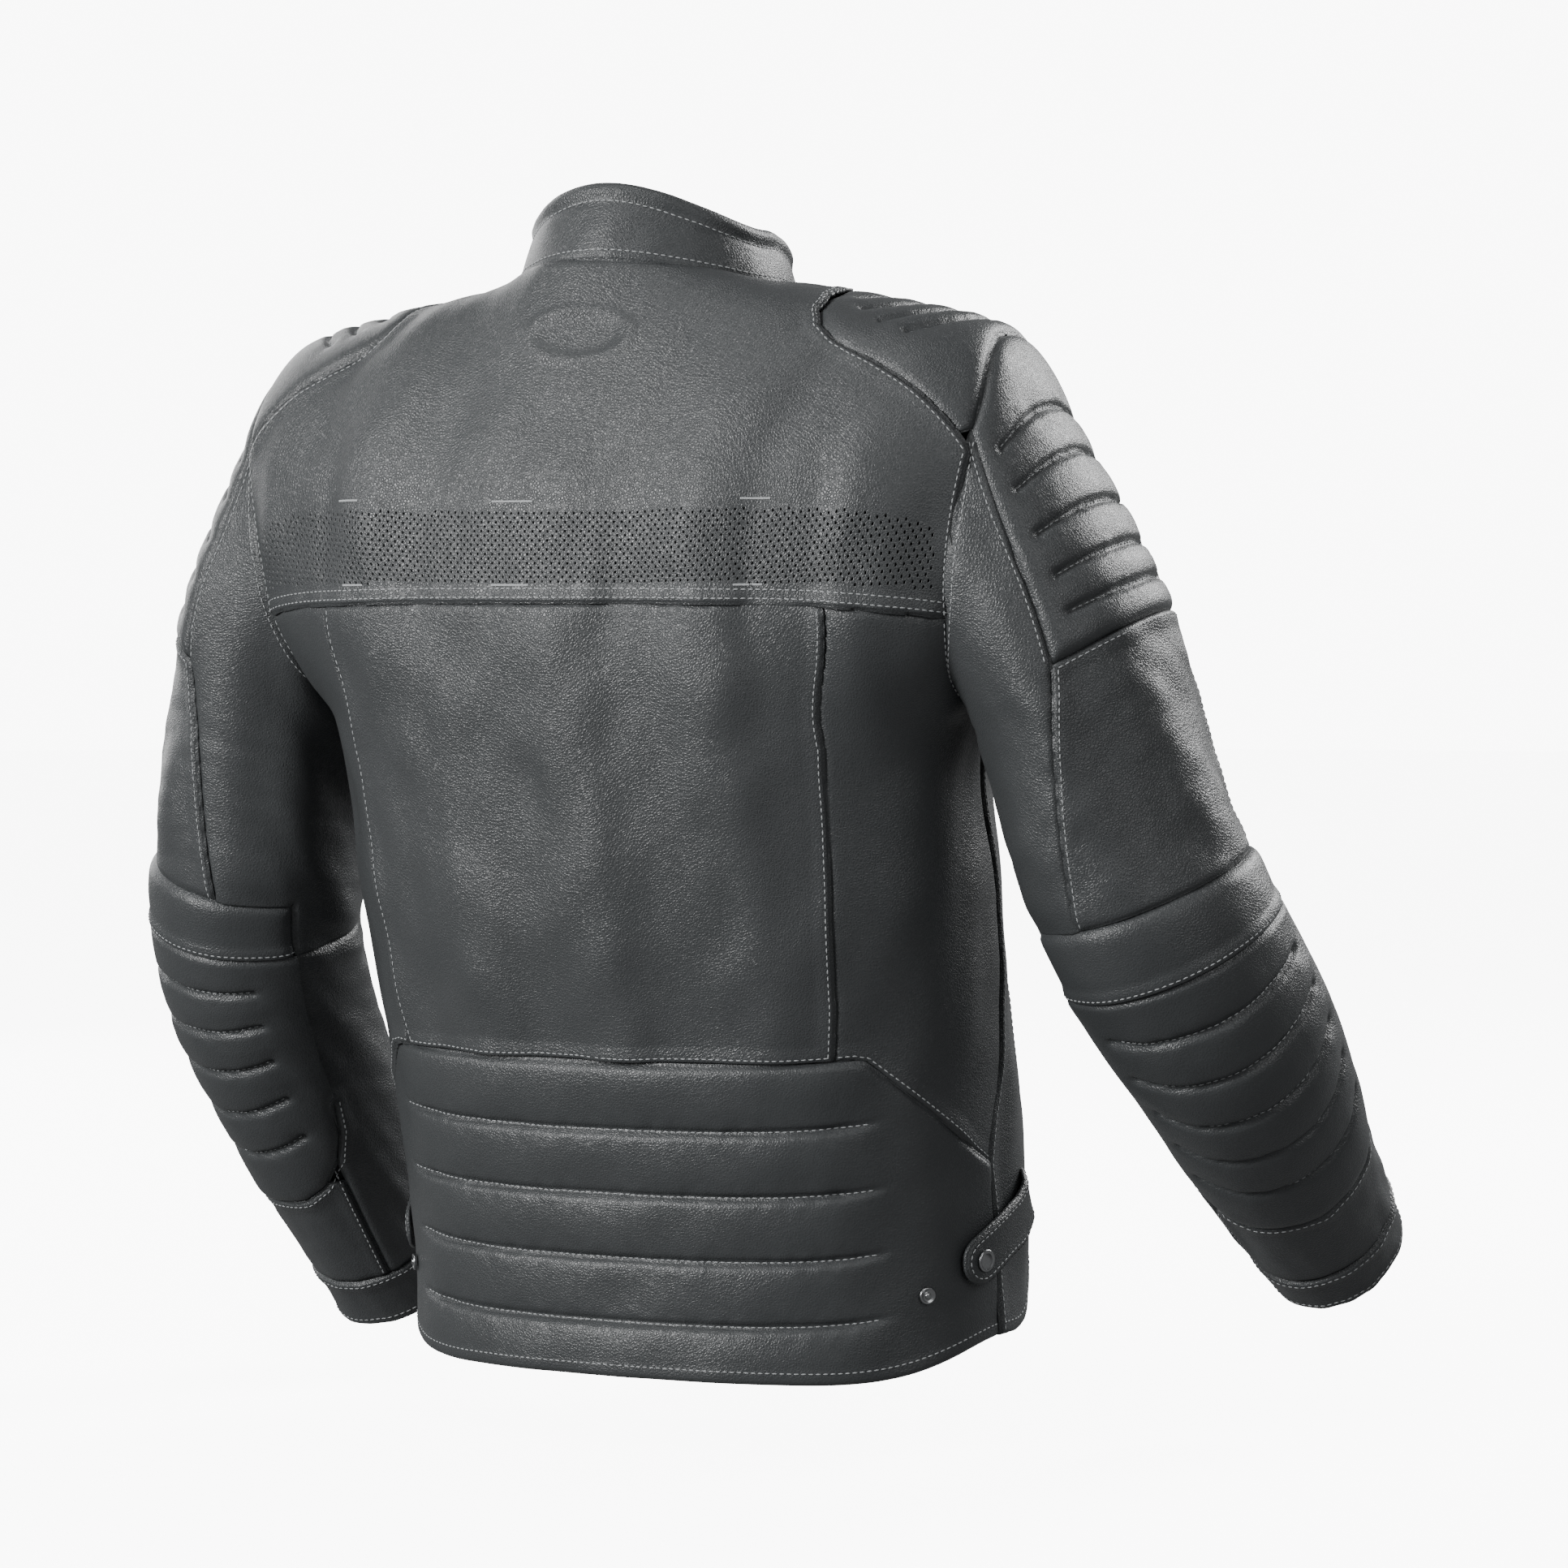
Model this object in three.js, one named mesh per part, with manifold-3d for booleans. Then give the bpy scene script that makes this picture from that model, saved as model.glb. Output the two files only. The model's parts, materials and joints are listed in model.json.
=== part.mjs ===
import * as THREE from 'three';
import { mergeVertices } from 'three/addons/utils/BufferGeometryUtils.js';
import Module from 'manifold-3d';

const wasm = await Module();
wasm.setup();

// Leather riding jacket, worn shape, millimetres.
// The wearer faces -Y, the back is +Y, the wearer's right is -X, Z is up.
// Everything is laid out from the back hem and shifted at the end, so that the hanger loop is the origin.

// Overall sizes
const BACK_LENGTH = 645;      // hem to neck seam down the centre back
const HALF_WIDTH = 189;       // half the width across the waist
const BODY_DEPTH = 230;       // front to back at the waist
const SLEEVE_SWING = 1;       // how far the sleeves stand away from the body, 1 as worn

// Material thicknesses
const LEATHER = 2.2;          // main leather with its glued backing
const PADDED = 6;             // ribbed leather over wadding
const LINING = 1.2;           // quilted lining
const COLLAR_THICKNESS = 4;   // two leathers and stiffening
const PROTECTOR = 9;          // foam protector
const STRAP = 2.2;            // tabs at the waist and collar

// Clearances
const SEAM = 0.42;            // each panel stops this far from its seam line
const LAYER = 1.1;            // sleeve leather to lining
const BODY_LAYER = 1.7;       // body leather to lining
const POUCH = 1.5;            // lining to protector
const SLIP = 0.4;             // metal parts that pass or cover one another

// Zips
const BEAD_WIDTH = 4;
const BEAD_HEIGHT = 1.8;
const TAPE = 0.9;
const STRIP_WIDTH = 8;
const FRONT_TAPE_WIDTH = 14;
const SLIDER = { width: 7, length: 12, height: 1.5 };
const PULL = { width: 7, length: 26, height: 1.5 };

// Snap fasteners
const CAP_RADIUS = 6.3;
const CAP_HEIGHT = 2.2;
const STUD_RADIUS = 4.8;

// Body form: level up the jacket, half width, y of the side, back and front,
// z at the back, side and front, roundness of the ring, how late the hem climbs to the side
const BODY = [
  [0.00, 184, -40, 80, -150.0, 12, 35, 98, 2.4, 8],
  [0.10, 185, -36, 82, -141.3, 70, 85, 140, 2.4, 6],
  [0.28, 188, -15, 102, -125.8, 175, 185, 215, 2.4, 4],
  [0.45, 189, 15, 131, -108.3, 280, 284, 300, 2.4, 2],
  [0.62, 196, 34, 150, -90.7, 385, 382, 385, 2.5, 2],
  [0.72, 240, 52, 155, -79.4, 450, 455, 440, 2.5, 2],
  [0.82, 250, 48, 152, -69.1, 510, 548, 490, 2.5, 2],
  [0.88, 222, 38, 140, -61.8, 555, 596, 525, 2.4, 2],
  [0.94, 160, 38, 124, -56.7, 602, 614, 550, 2.2, 2],
  [1.00, 77, 38, 111, -51.5, 642, 628, 575, 2.0, 2],
];

// Stand collar on the neck ring: height, half width, y of the side, back and front, z at the back, side and front
const STAND = [
  [0.0, 77, 38, 111, -51.5, 642, 628, 575],
  [0.5, 73, 38, 104, -49.0, 665, 645, 596],
  [1.0, 68, 37, 97, -46.0, 686, 661, 617],
];

// Sleeve form: distance down the sleeve, centre out from the middle, y and z of the centre,
// the two leans of the ring, half width across and half depth front to back
const SLEEVE_TOP = [
  [0.00, 224, 38, 497, 10, 0, 102, 82],
  [0.08, 234, 36, 471, 23, 3, 79, 78],
  [0.16, 251, 34, 441, 42, 6, 61, 74],
  [0.24, 260, 31, 415, 61, 9, 56, 71],
  [0.32, 267, 27, 386, 72, 11, 56, 68],
  [0.45, 284, 16, 318, 74, 13, 59, 66],
];
const RIGHT_SLEEVE = [
  ...SLEEVE_TOP,
  [0.57, 305, 0, 262, 77, 24, 58, 62],
  [0.70, 323, -40, 205, 84, 42, 54, 56],
  [0.85, 325, -115, 137, 86, 48, 47, 48],
  [1.00, 325, -190, 75, 86, 50, 37, 39],
];
const LEFT_SLEEVE = [
  ...SLEEVE_TOP,
  [0.57, 297, 0, 262, 80, 18, 59, 62],
  [0.70, 304, -32, 200, 90, 28, 56, 57],
  [0.85, 299, -88, 113, 94, 32, 47, 48],
  [1.00, 288, -146, 24, 95, 33, 37, 39],
];

// Seam lines on the body, as [angle round from the centre back, level up the jacket]
const CENTRE_SEAM = 41.5;
const SIDE_SEAM = 92;
const YOKE_HEM_CENTRE = 0.722;
const YOKE_HEM_END = 0.7;
const LUMBAR_TOP = 0.3;
const LUMBAR_SIDE = 0.2;
const FRONT_EDGE = 178.3;
const PAD_BACK = [58, 0.957];
const PAD_RIDGE = [90, 0.967];
const PAD_FRONT = [122, 0.957];
const ARMHOLE = { round: 92, level: 0.765, back: 31, front: 33, up: 0.118, down: 0.12 };

// Seam lines on the sleeve, as angle round from the outside (90 back, 180 inside) and distance down
const ARM_PAD_END = 0.235;
const BAND_START = 0.5;
const ELBOW = 0.57;
const ELBOW_PAD_END = 0.86;
const CUFF_START = 0.95;
const PATCH_FRONT = -40;
const PATCH_BACK = 142;

// Facets
const GRID = { body: [15, 1 / 24], sleeve: [20, 1 / 14] };
const FLAT = 300;             // flat pattern units per unit of level
const CROWN = 0.0005;         // slight crown that keeps the slab's facets apart while it is cut

const rowsAt = (rows, t) => {
  const last = rows.length - 1;
  let k = 0;
  while (k < last - 1 && t > rows[k + 1][0]) k += 1;
  const span = rows[k + 1][0] - rows[k][0];
  const f = (t - rows[k][0]) / span;
  const slope = (i, c) => {
    const a = Math.max(i - 1, 0);
    const b = Math.min(i + 1, last);
    return (rows[b][c] - rows[a][c]) / (rows[b][0] - rows[a][0]);
  };
  const value = (c) => (
    (2 * f ** 3 - 3 * f ** 2 + 1) * rows[k][c]
    + (f ** 3 - 2 * f ** 2 + f) * span * slope(k, c)
    + (-2 * f ** 3 + 3 * f ** 2) * rows[k + 1][c]
    + (f ** 3 - f ** 2) * span * slope(k + 1, c)
  );
  return rows[k].slice(1).map((_, c) => value(c + 1));
};
const rad = THREE.MathUtils.degToRad;
const power = (x, p) => Math.sign(x) * Math.abs(x) ** p;
const toSize = (x, y, z) => new THREE.Vector3(
  x * HALF_WIDTH / 189,
  y * BODY_DEPTH / 230,
  z * BACK_LENGTH / 645,
);

// A surface is a point for (angle, level) plus the side its outside is on
const bodyForm = {
  grid: GRID.body,
  facing: 1,
  point: (angle, level) => {
    const [a, side, back, front, zBack, zSide, zFront, round, climb] = rowsAt(BODY, level);
    const c = Math.cos(rad(angle));
    const s = Math.sin(rad(angle));
    const reach = c >= 0 ? back - side : side - front;
    const middle = c >= 0 ? zBack : zFront;
    return toSize(
      -a * power(s, 2 / round),
      side + reach * power(c, 2 / round),
      middle + (zSide - middle) * Math.abs(s) ** climb,
    );
  },
};
const collarForm = {
  grid: [15, 1 / 2],
  facing: 1,
  point: (angle, height) => {
    const [a, side, back, front, zBack, zSide, zFront] = rowsAt(STAND, height);
    const c = Math.cos(rad(angle));
    const s = Math.sin(rad(angle));
    const reach = c >= 0 ? back - side : side - front;
    const middle = c >= 0 ? zBack : zFront;
    return toSize(-a * s, side + reach * c, middle + (zSide - middle) * s * s);
  },
};
const armholePoint = (turn) => {
  const c = Math.cos(rad(turn));
  const s = Math.sin(rad(turn));
  const round = ARMHOLE.round - (s > 0 ? ARMHOLE.back : ARMHOLE.front) * s;
  const level = ARMHOLE.level + (c > 0 ? ARMHOLE.up : ARMHOLE.down) * c;
  return [round, level];
};
const sleeveForm = (rows, side) => {
  const ring = (angle, down) => {
    const [out, y, z, lean, tip, ra, rb] = rowsAt(rows, down);
    const swing = 205 + (out - 205) * SLEEVE_SWING;
    const a = rad(lean);
    const b = rad(tip);
    const c = ra * Math.cos(rad(angle));
    const s = rb * Math.sin(rad(angle));
    return toSize(
      swing + c * Math.sin(a),
      y + c * Math.cos(a) * Math.sin(b) + s * Math.cos(b),
      z + c * Math.cos(a) * Math.cos(b) - s * Math.sin(b),
    );
  };
  return {
    grid: GRID.sleeve,
    facing: -side,
    point: (angle, down) => {
      const p = ring(angle, down);
      const hold = Math.max(0, 1 - down / 0.3) ** 2;
      if (hold > 0) {
        const [round, level] = armholePoint(angle);
        const seat = bodyForm.point(round, level);
        seat.x = Math.abs(seat.x);
        p.addScaledVector(seat.sub(ring(angle, 0)), hold);
      }
      p.x *= side;
      return p;
    },
  };
};
const slopes = (form, u, v) => {
  const du = 0.5;
  const low = Math.max(v - 0.004, 0);
  const high = Math.min(v + 0.004, 1);
  const pu = form.point(u + du, v).sub(form.point(u - du, v)).divideScalar(2 * du);
  const pv = form.point(u, high).sub(form.point(u, low)).divideScalar(high - low);
  const out = pu.clone().cross(pv).normalize().multiplyScalar(form.facing);
  return { pu, pv, out };
};
const lift = (form, u, v, h) => form.point(u, v).addScaledVector(slopes(form, u, v).out, h);

// Moves an outline in from its seam line by a distance measured on the surface
const inset = (form, outline, distance) => {
  const count = outline.length;
  let area = 0;
  outline.forEach(([u, v], i) => {
    const [nu, nv] = outline[(i + 1) % count];
    area += u * nv - nu * v;
  });
  const turn = Math.sign(area) * form.facing;
  return outline.map(([u, v], i) => {
    const { pu, pv, out } = slopes(form, u, v);
    const step = (j) => {
      const [a, b] = outline[(j + count) % count];
      return pu.clone().multiplyScalar(a - u).addScaledVector(pv, b - v);
    };
    const before = step(i - 1).negate().normalize();
    const after = step(i + 1).normalize();
    const left = out.clone().cross(before).multiplyScalar(turn);
    const right = out.clone().cross(after).multiplyScalar(turn);
    const bend = Math.max(1 + left.dot(right), 0.35);
    const move = left.add(right).multiplyScalar(distance / bend);
    const uu = pu.dot(pu);
    const uv = pu.dot(pv);
    const vv = pv.dot(pv);
    const mu = move.dot(pu);
    const mv = move.dot(pv);
    const det = uu * vv - uv * uv;
    return [u + (mu * vv - mv * uv) / det, v + (mv * uu - mu * uv) / det];
  });
};

const solidFrom = (geometry) => {
  const bare = geometry.index ? geometry.clone() : geometry;
  bare.deleteAttribute('normal');
  bare.deleteAttribute('uv');
  const joined = mergeVertices(bare, 1e-4);
  return new wasm.Manifold(new wasm.Mesh({
    numProp: 3,
    vertProperties: Float32Array.from(joined.attributes.position.array),
    triVerts: Uint32Array.from(joined.index.array),
  }));
};
const geometryFrom = (solid) => {
  const mesh = solid.getMesh();
  const geometry = new THREE.BufferGeometry();
  geometry.setAttribute('position', new THREE.BufferAttribute(Float32Array.from(mesh.vertProperties), 3));
  geometry.setIndex(Array.from(mesh.triVerts));
  return geometry;
};
const prism = (outline, low, high) => {
  const shape = new THREE.Shape(outline.map(([u, v]) => new THREE.Vector2(u, v * FLAT)));
  const geometry = new THREE.ExtrudeGeometry(shape, { depth: high - low, bevelEnabled: false, steps: 1 });
  geometry.translate(0, 0, low);
  return solidFrom(geometry);
};

// A panel is cut flat from a gridded slab and then laid over its surface
const crown = (geometry, [u0, v0], sense) => {
  const place = geometry.attributes.position;
  for (let i = 0; i < place.count; i += 1) {
    const away = (place.getX(i) - u0) ** 2 + (place.getY(i) - v0) ** 2;
    place.setZ(i, place.getZ(i) + sense * CROWN * away);
  }
  return geometry;
};
const laid = (form, geometry) => {
  const place = geometry.attributes.position;
  for (let i = 0; i < place.count; i += 1) {
    const p = lift(form, place.getX(i), place.getY(i) / FLAT, place.getZ(i));
    place.setXYZ(i, p.x, p.y, p.z);
  }
  if (form.facing < 0) {
    const index = geometry.index.array;
    for (let i = 0; i < index.length; i += 3) [index[i], index[i + 1]] = [index[i + 1], index[i]];
  }
  return geometry;
};
const panelGeometry = (form, outline, low, high, holes = [], edge = SEAM) => {
  const cut = inset(form, outline, edge);
  const [du, dv] = form.grid;
  const us = cut.map((p) => p[0]);
  const u0 = Math.floor(Math.min(...us) / du - 0.1) * du;
  const columns = Math.ceil((Math.max(...us) - u0) / du + 0.1);
  const vs = cut.map((p) => p[1]);
  const v0 = Math.max(0, Math.floor(Math.min(...vs) / dv) * dv);
  const rows = Math.round((Math.min(1, Math.ceil(Math.max(...vs) / dv) * dv) - v0) / dv);
  const slab = new THREE.BoxGeometry(columns * du, rows * dv * FLAT, high - low, columns, rows, 1);
  const middle = [u0 + columns * du / 2, (v0 + rows * dv / 2) * FLAT];
  slab.translate(...middle, (low + high) / 2);
  crown(slab, middle, 1);
  const deep = 1000;
  let solid = solidFrom(slab).intersect(prism(cut, -deep, deep));
  holes.forEach((hole) => {
    solid = solid.subtract(prism(hole, -deep, deep));
  });
  return laid(form, crown(geometryFrom(solid), middle, -1));
};
const jacket = new THREE.Group();
jacket.name = 'riding_jacket';
const COLOURS = {
  leather: [0x2f3133, 0.5, 0],
  padded: [0x2c2e30, 0.5, 0],
  lining: [0x1b1c1e, 0.9, 0],
  foam: [0x3a3d40, 0.9, 0],
  tape: [0x18191a, 0.85, 0],
  metal: [0x5d6064, 0.35, 1],
};
const add = (name, geometry, kind) => {
  const [color, roughness, metalness] = COLOURS[kind];
  const mesh = new THREE.Mesh(geometry, new THREE.MeshStandardMaterial({ color, roughness, metalness }));
  mesh.name = name;
  geometry.computeVertexNormals();
  jacket.add(mesh);
  return mesh;
};

// Angle and level of the point on a surface nearest to a point in space
const unroll = (form, target, guess) => {
  let [u, v] = guess;
  for (let i = 0; i < 12; i += 1) {
    const { pu, pv } = slopes(form, u, v);
    const gap = target.clone().sub(form.point(u, v));
    const uu = pu.dot(pu);
    const uv = pu.dot(pv);
    const vv = pv.dot(pv);
    const det = uu * vv - uv * uv;
    u += (gap.dot(pu) * vv - gap.dot(pv) * uv) / det;
    v += (gap.dot(pv) * uu - gap.dot(pu) * uv) / det;
  }
  return [u, v];
};

// A straight bench for flat parts: across, along and out axes at a point
const bench = (origin, along, out) => {
  const y = along.clone().normalize();
  const x = y.clone().cross(out).normalize();
  const z = x.clone().cross(y);
  const frame = new THREE.Matrix4().makeBasis(x, y, z).setPosition(origin);
  return { frame, toWorld: (a, b, c) => new THREE.Vector3(a, b, c).applyMatrix4(frame) };
};
const benchBetween = (form, start, end, rise) => {
  const a = form.point(...start);
  const b = form.point(...end);
  const mid = [(start[0] + end[0]) / 2, (start[1] + end[1]) / 2];
  const out = slopes(form, ...mid).out;
  const seat = bench(a.clone().add(b).multiplyScalar(0.5), b.clone().sub(a), out);
  seat.length = a.distanceTo(b);
  seat.bulge = form.point(...mid).sub(a.clone().add(b).multiplyScalar(0.5)).dot(
    new THREE.Vector3().setFromMatrixColumn(seat.frame, 2),
  );
  seat.frame.setPosition(seat.toWorld(0, 0, seat.bulge + rise));
  return seat;
};
const box = (x0, x1, y0, y1, z0, z1) => {
  const geometry = new THREE.BoxGeometry(x1 - x0, y1 - y0, z1 - z0);
  geometry.translate((x0 + x1) / 2, (y0 + y1) / 2, (z0 + z1) / 2);
  return geometry;
};
const joinedBoxes = (...boxes) => geometryFrom(
  boxes.map((b) => solidFrom(box(...b))).reduce((whole, next) => whole.add(next)),
);
const onBench = (name, geometry, kind, seat) => {
  geometry.applyMatrix4(seat.frame);
  return add(name, geometry, kind);
};

// Zip slider: a plate over the teeth with a lug for the pull.
// Zip pull: an open frame forked round the lug, hanging down the zip.
const LUG = { half: 1.3, reach: 2.2, height: 3.4 };
const sliderGeometry = (at) => joinedBoxes(
  [-SLIDER.width / 2, SLIDER.width / 2, at - SLIDER.length / 2, at + SLIDER.length / 2,
    BEAD_HEIGHT + SLIP, BEAD_HEIGHT + SLIP + SLIDER.height],
  [-LUG.half, LUG.half, at - LUG.reach, at + LUG.reach,
    BEAD_HEIGHT + SLIP + SLIDER.height - 0.5, BEAD_HEIGHT + SLIP + SLIDER.height + LUG.height],
);
const PULL_LOW = BEAD_HEIGHT + SLIP + SLIDER.height + 0.6;
const pullGeometry = (at) => {
  const low = PULL_LOW;
  const high = PULL_LOW + PULL.height;
  const half = PULL.width / 2;
  const inner = LUG.half + SLIP;
  const foot = at - PULL.length;
  return joinedBoxes(
    [-half, -inner, foot + 2, at + 0.8, low, high],
    [inner, half, foot + 2, at + 0.8, low, high],
    [-half, half, at - LUG.reach - 3.6, at - LUG.reach - 1.4, low, high],
    [-half, half, foot, foot + 4, low, high],
  );
};

// BODY PANELS
const mirror = (outline) => outline.map(([u, v]) => [360 - u, v]).reverse();
const toLeft = (outline) => outline.map(([u, v]) => [-u, v]).reverse();
const arc = (from, to, steps) => Array.from(
  { length: steps + 1 },
  (_, i) => armholePoint(from + (to - from) * i / steps),
);
const PAD_TURN = 48;
const HEM_TURN = 119;
const bottomOfArm = armholePoint(180);
const hemCorner = armholePoint(HEM_TURN);
const backEdge = arc(PAD_TURN, HEM_TURN, 6);
const hemLine = (angle) => {
  const share = Math.abs(angle) / hemCorner[0];
  return YOKE_HEM_CENTRE + (hemCorner[1] - YOKE_HEM_CENTRE) * share * share;
};
const neckRing = [90, 60, 30, 0, -30, -60, -90].map((u) => [u, 1]);
const yokeRight = [PAD_RIDGE, PAD_BACK, ...backEdge];
const hemPoints = [CENTRE_SEAM, 21, 0, -21, -CENTRE_SEAM].map((u) => [u, hemLine(u)]);
const yoke = [...yokeRight, ...hemPoints, ...toLeft(yokeRight), ...neckRing.slice().reverse()];
add('back_yoke', panelGeometry(bodyForm, yoke, 0, LEATHER), 'leather');

const seamTop = hemLine(CENTRE_SEAM);
const centre = [
  [CENTRE_SEAM, seamTop], [CENTRE_SEAM, LUMBAR_TOP], [-CENTRE_SEAM, LUMBAR_TOP], [-CENTRE_SEAM, seamTop],
  [-21, hemLine(21)], [0, hemLine(0)], [21, hemLine(21)],
];
add('back_centre_panel', panelGeometry(bodyForm, centre, 0, LEATHER), 'leather');

const sidePanel = [
  [CENTRE_SEAM, LUMBAR_TOP], [CENTRE_SEAM, seamTop], ...arc(HEM_TURN, 180, 5),
  [SIDE_SEAM, 0.5], [SIDE_SEAM, LUMBAR_SIDE],
];
const lumbar = [
  [CENTRE_SEAM, LUMBAR_TOP], [SIDE_SEAM, LUMBAR_SIDE], [SIDE_SEAM, 0],
  [45, 0], [0, 0], [-45, 0],
  [-SIDE_SEAM, 0], [-SIDE_SEAM, LUMBAR_SIDE], [-CENTRE_SEAM, LUMBAR_TOP],
];
add('lumbar_panel', panelGeometry(bodyForm, lumbar, 0, PADDED), 'padded');

const frontPanel = [
  [SIDE_SEAM, 0], [SIDE_SEAM, 0.5], ...arc(180, 360 - PAD_TURN, 10), PAD_FRONT, PAD_RIDGE,
  [90, 1], [120, 1], [150, 1], [FRONT_EDGE - 2.2, 1], [FRONT_EDGE, 0.5], [FRONT_EDGE, 0],
];
const shoulderPad = [PAD_RIDGE, PAD_BACK, ...arc(PAD_TURN, -PAD_TURN, 16), PAD_FRONT];

// Pocket zips stand in slots in the front panels
const POCKET = { low: [117, 0.27], high: [124, 0.47] };
const slotFor = (form, seat, width, start, end, guess) => {
  const half = width / 2 + SLIP + 0.1;
  const outline = [];
  for (let i = 0; i <= 4; i += 1) {
    const y = start + (end - start) * i / 4;
    outline.push(unroll(form, seat.toWorld(half, y, 0), guess(i / 4)));
  }
  for (let i = 4; i >= 0; i -= 1) {
    const y = start + (end - start) * i / 4;
    outline.push(unroll(form, seat.toWorld(-half, y, 0), guess(i / 4)));
  }
  return outline;
};
const stripGeometry = (start, end) => joinedBoxes(
  [-STRIP_WIDTH / 2, STRIP_WIDTH / 2, start, end, 0, TAPE],
  [-BEAD_WIDTH / 2, BEAD_WIDTH / 2, start + 2, end - 2, TAPE - 0.3, BEAD_HEIGHT],
);
for (const [side, word] of [[1, 'right'], [-1, 'left']]) {
  const turn = (outline) => (side > 0 ? outline : mirror(outline));
  const low = turn([POCKET.low])[0];
  const high = turn([POCKET.high])[0];
  const seat = benchBetween(bodyForm, low, high, -0.2);
  const half = seat.length / 2;
  const guess = (f) => [low[0] + (high[0] - low[0]) * f, low[1] + (high[1] - low[1]) * f];
  const slot = slotFor(bodyForm, seat, STRIP_WIDTH, -half - SLIP, half + SLIP, guess);
  add(`back_side_panel_${word}`, panelGeometry(bodyForm, turn(sidePanel), 0, LEATHER), 'leather');
  add(`front_panel_${word}`, panelGeometry(bodyForm, turn(frontPanel), 0, LEATHER, [slot]), 'leather');
  add(`shoulder_pad_${word}`, panelGeometry(bodyForm, turn(shoulderPad), 0, PADDED), 'padded');
  onBench(`pocket_zip_${word}`, stripGeometry(-half, half), 'tape', seat);
  const rest = half - 10;
  onBench(`pocket_slider_${word}`, sliderGeometry(rest), 'metal', seat);
  onBench(`pocket_pull_${word}`, pullGeometry(rest), 'metal', seat);
}

// LINING, one piece round the body with a hole for each arm and open at the front
const LINING_EDGE = 172;
const LINING_TOP = 0.94;
const armhole = [[60.2, 0.626], [119.8, 0.626], [119.8, 0.915], [60.2, 0.915]];
const liningOuter = [
  [360 - LINING_EDGE, 0], [360 - LINING_EDGE, LINING_TOP], [LINING_EDGE + 360, LINING_TOP], [LINING_EDGE + 360, 0],
];
const wide = (outline) => outline.map(([u, v]) => [u + 360, v]);
const liningHoles = [wide(armhole), wide(mirror(armhole)).map(([u, v]) => [u - 360, v])];
add('torso_lining', panelGeometry(bodyForm, liningOuter, -BODY_LAYER - LINING, -BODY_LAYER, liningHoles, 1), 'lining');

const plate = [[-34, 0.34], [-38, 0.6], [-30, 0.82], [-14, 0.88], [14, 0.88], [30, 0.82], [38, 0.6], [34, 0.34]];
const underLining = -BODY_LAYER - LINING - POUCH;
add('back_protector', panelGeometry(bodyForm, plate, underLining - PROTECTOR, underLining), 'foam');

// COLLAR
const COLLAR_START = 0.05;
const collar = [
  ...[-176, -120, -60, 0, 60, 120, 176].map((u) => [u, COLLAR_START]),
  ...[168, 120, 60, 0, -60, -120, -168].map((u) => [u, 1]),
];
add('collar', panelGeometry(collarForm, collar, -COLLAR_THICKNESS / 2, COLLAR_THICKNESS / 2), 'leather');

// FRONT ZIP on the straight centre-front line
const frontLow = bodyForm.point(180, 0.012);
const frontHigh = bodyForm.point(180, 0.985);
const frontAlong = frontHigh.clone().sub(frontLow).normalize();
const frontOut = new THREE.Vector3(0, -1, 0).addScaledVector(frontAlong, frontAlong.y).normalize();
const frontSeat = bench(frontLow.clone().addScaledVector(frontOut, -TAPE - 0.6), frontAlong, frontOut);
const frontLength = frontHigh.distanceTo(frontLow);
for (const [side, word] of [[1, 'right'], [-1, 'left']]) {
  const spans = (a, b) => (side > 0 ? [a, b] : [-b, -a]);
  onBench(`front_zip_tape_${word}`, joinedBoxes(
    [...spans(0.45, 0.45 + FRONT_TAPE_WIDTH), 0, frontLength, 0, TAPE],
    [...spans(0.45, BEAD_WIDTH / 2 + 0.8), 2, frontLength - 2, TAPE - 0.3, BEAD_HEIGHT],
  ), 'tape', frontSeat);
}
const FRONT_REST = frontLength - 12;
onBench('front_zip_slider', sliderGeometry(FRONT_REST), 'metal', frontSeat);
onBench('front_zip_pull', pullGeometry(FRONT_REST), 'metal', frontSeat);

// SLEEVES
const SLEEVE_EDGE = (angle) => 0.0002 + 0.15 * ((1 - Math.cos(rad(angle))) / 2) ** 1.5;
const BACK_SEAM = [62, 68, 100];
const FRONT_SEAM = [-55, -50, -45];
const startLine = (from, to, steps) => Array.from({ length: steps + 1 }, (_, i) => {
  const angle = from + (to - from) * i / steps;
  return [angle, SLEEVE_EDGE(angle)];
});
const acrossLine = (from, to, down, steps) => Array.from(
  { length: steps + 1 },
  (_, i) => [from + (to - from) * i / steps, down],
);
const around = ([u, v]) => [u + 360, v];
const armPad = [
  ...startLine(FRONT_SEAM[0], BACK_SEAM[0], 16),
  ...acrossLine(BACK_SEAM[1], FRONT_SEAM[1], ARM_PAD_END, 6),
];
const outerPanel = [
  ...acrossLine(FRONT_SEAM[1], BACK_SEAM[1], ARM_PAD_END, 6),
  ...acrossLine(BACK_SEAM[2], FRONT_SEAM[2], BAND_START, 6),
];
const elbowBand = [
  ...acrossLine(PATCH_FRONT, PATCH_BACK, BAND_START, 8),
  ...acrossLine(PATCH_BACK, PATCH_FRONT, ELBOW, 8),
];
const underSleeve = [
  ...startLine(BACK_SEAM[0], FRONT_SEAM[0] + 360, 16),
  around([FRONT_SEAM[1], ARM_PAD_END]), around([FRONT_SEAM[2], BAND_START]),
  around([PATCH_FRONT, BAND_START]), ...acrossLine(PATCH_FRONT + 360, PATCH_BACK, ELBOW, 8),
  [PATCH_BACK, BAND_START], [BACK_SEAM[2], BAND_START], [BACK_SEAM[1], ARM_PAD_END],
];
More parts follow.
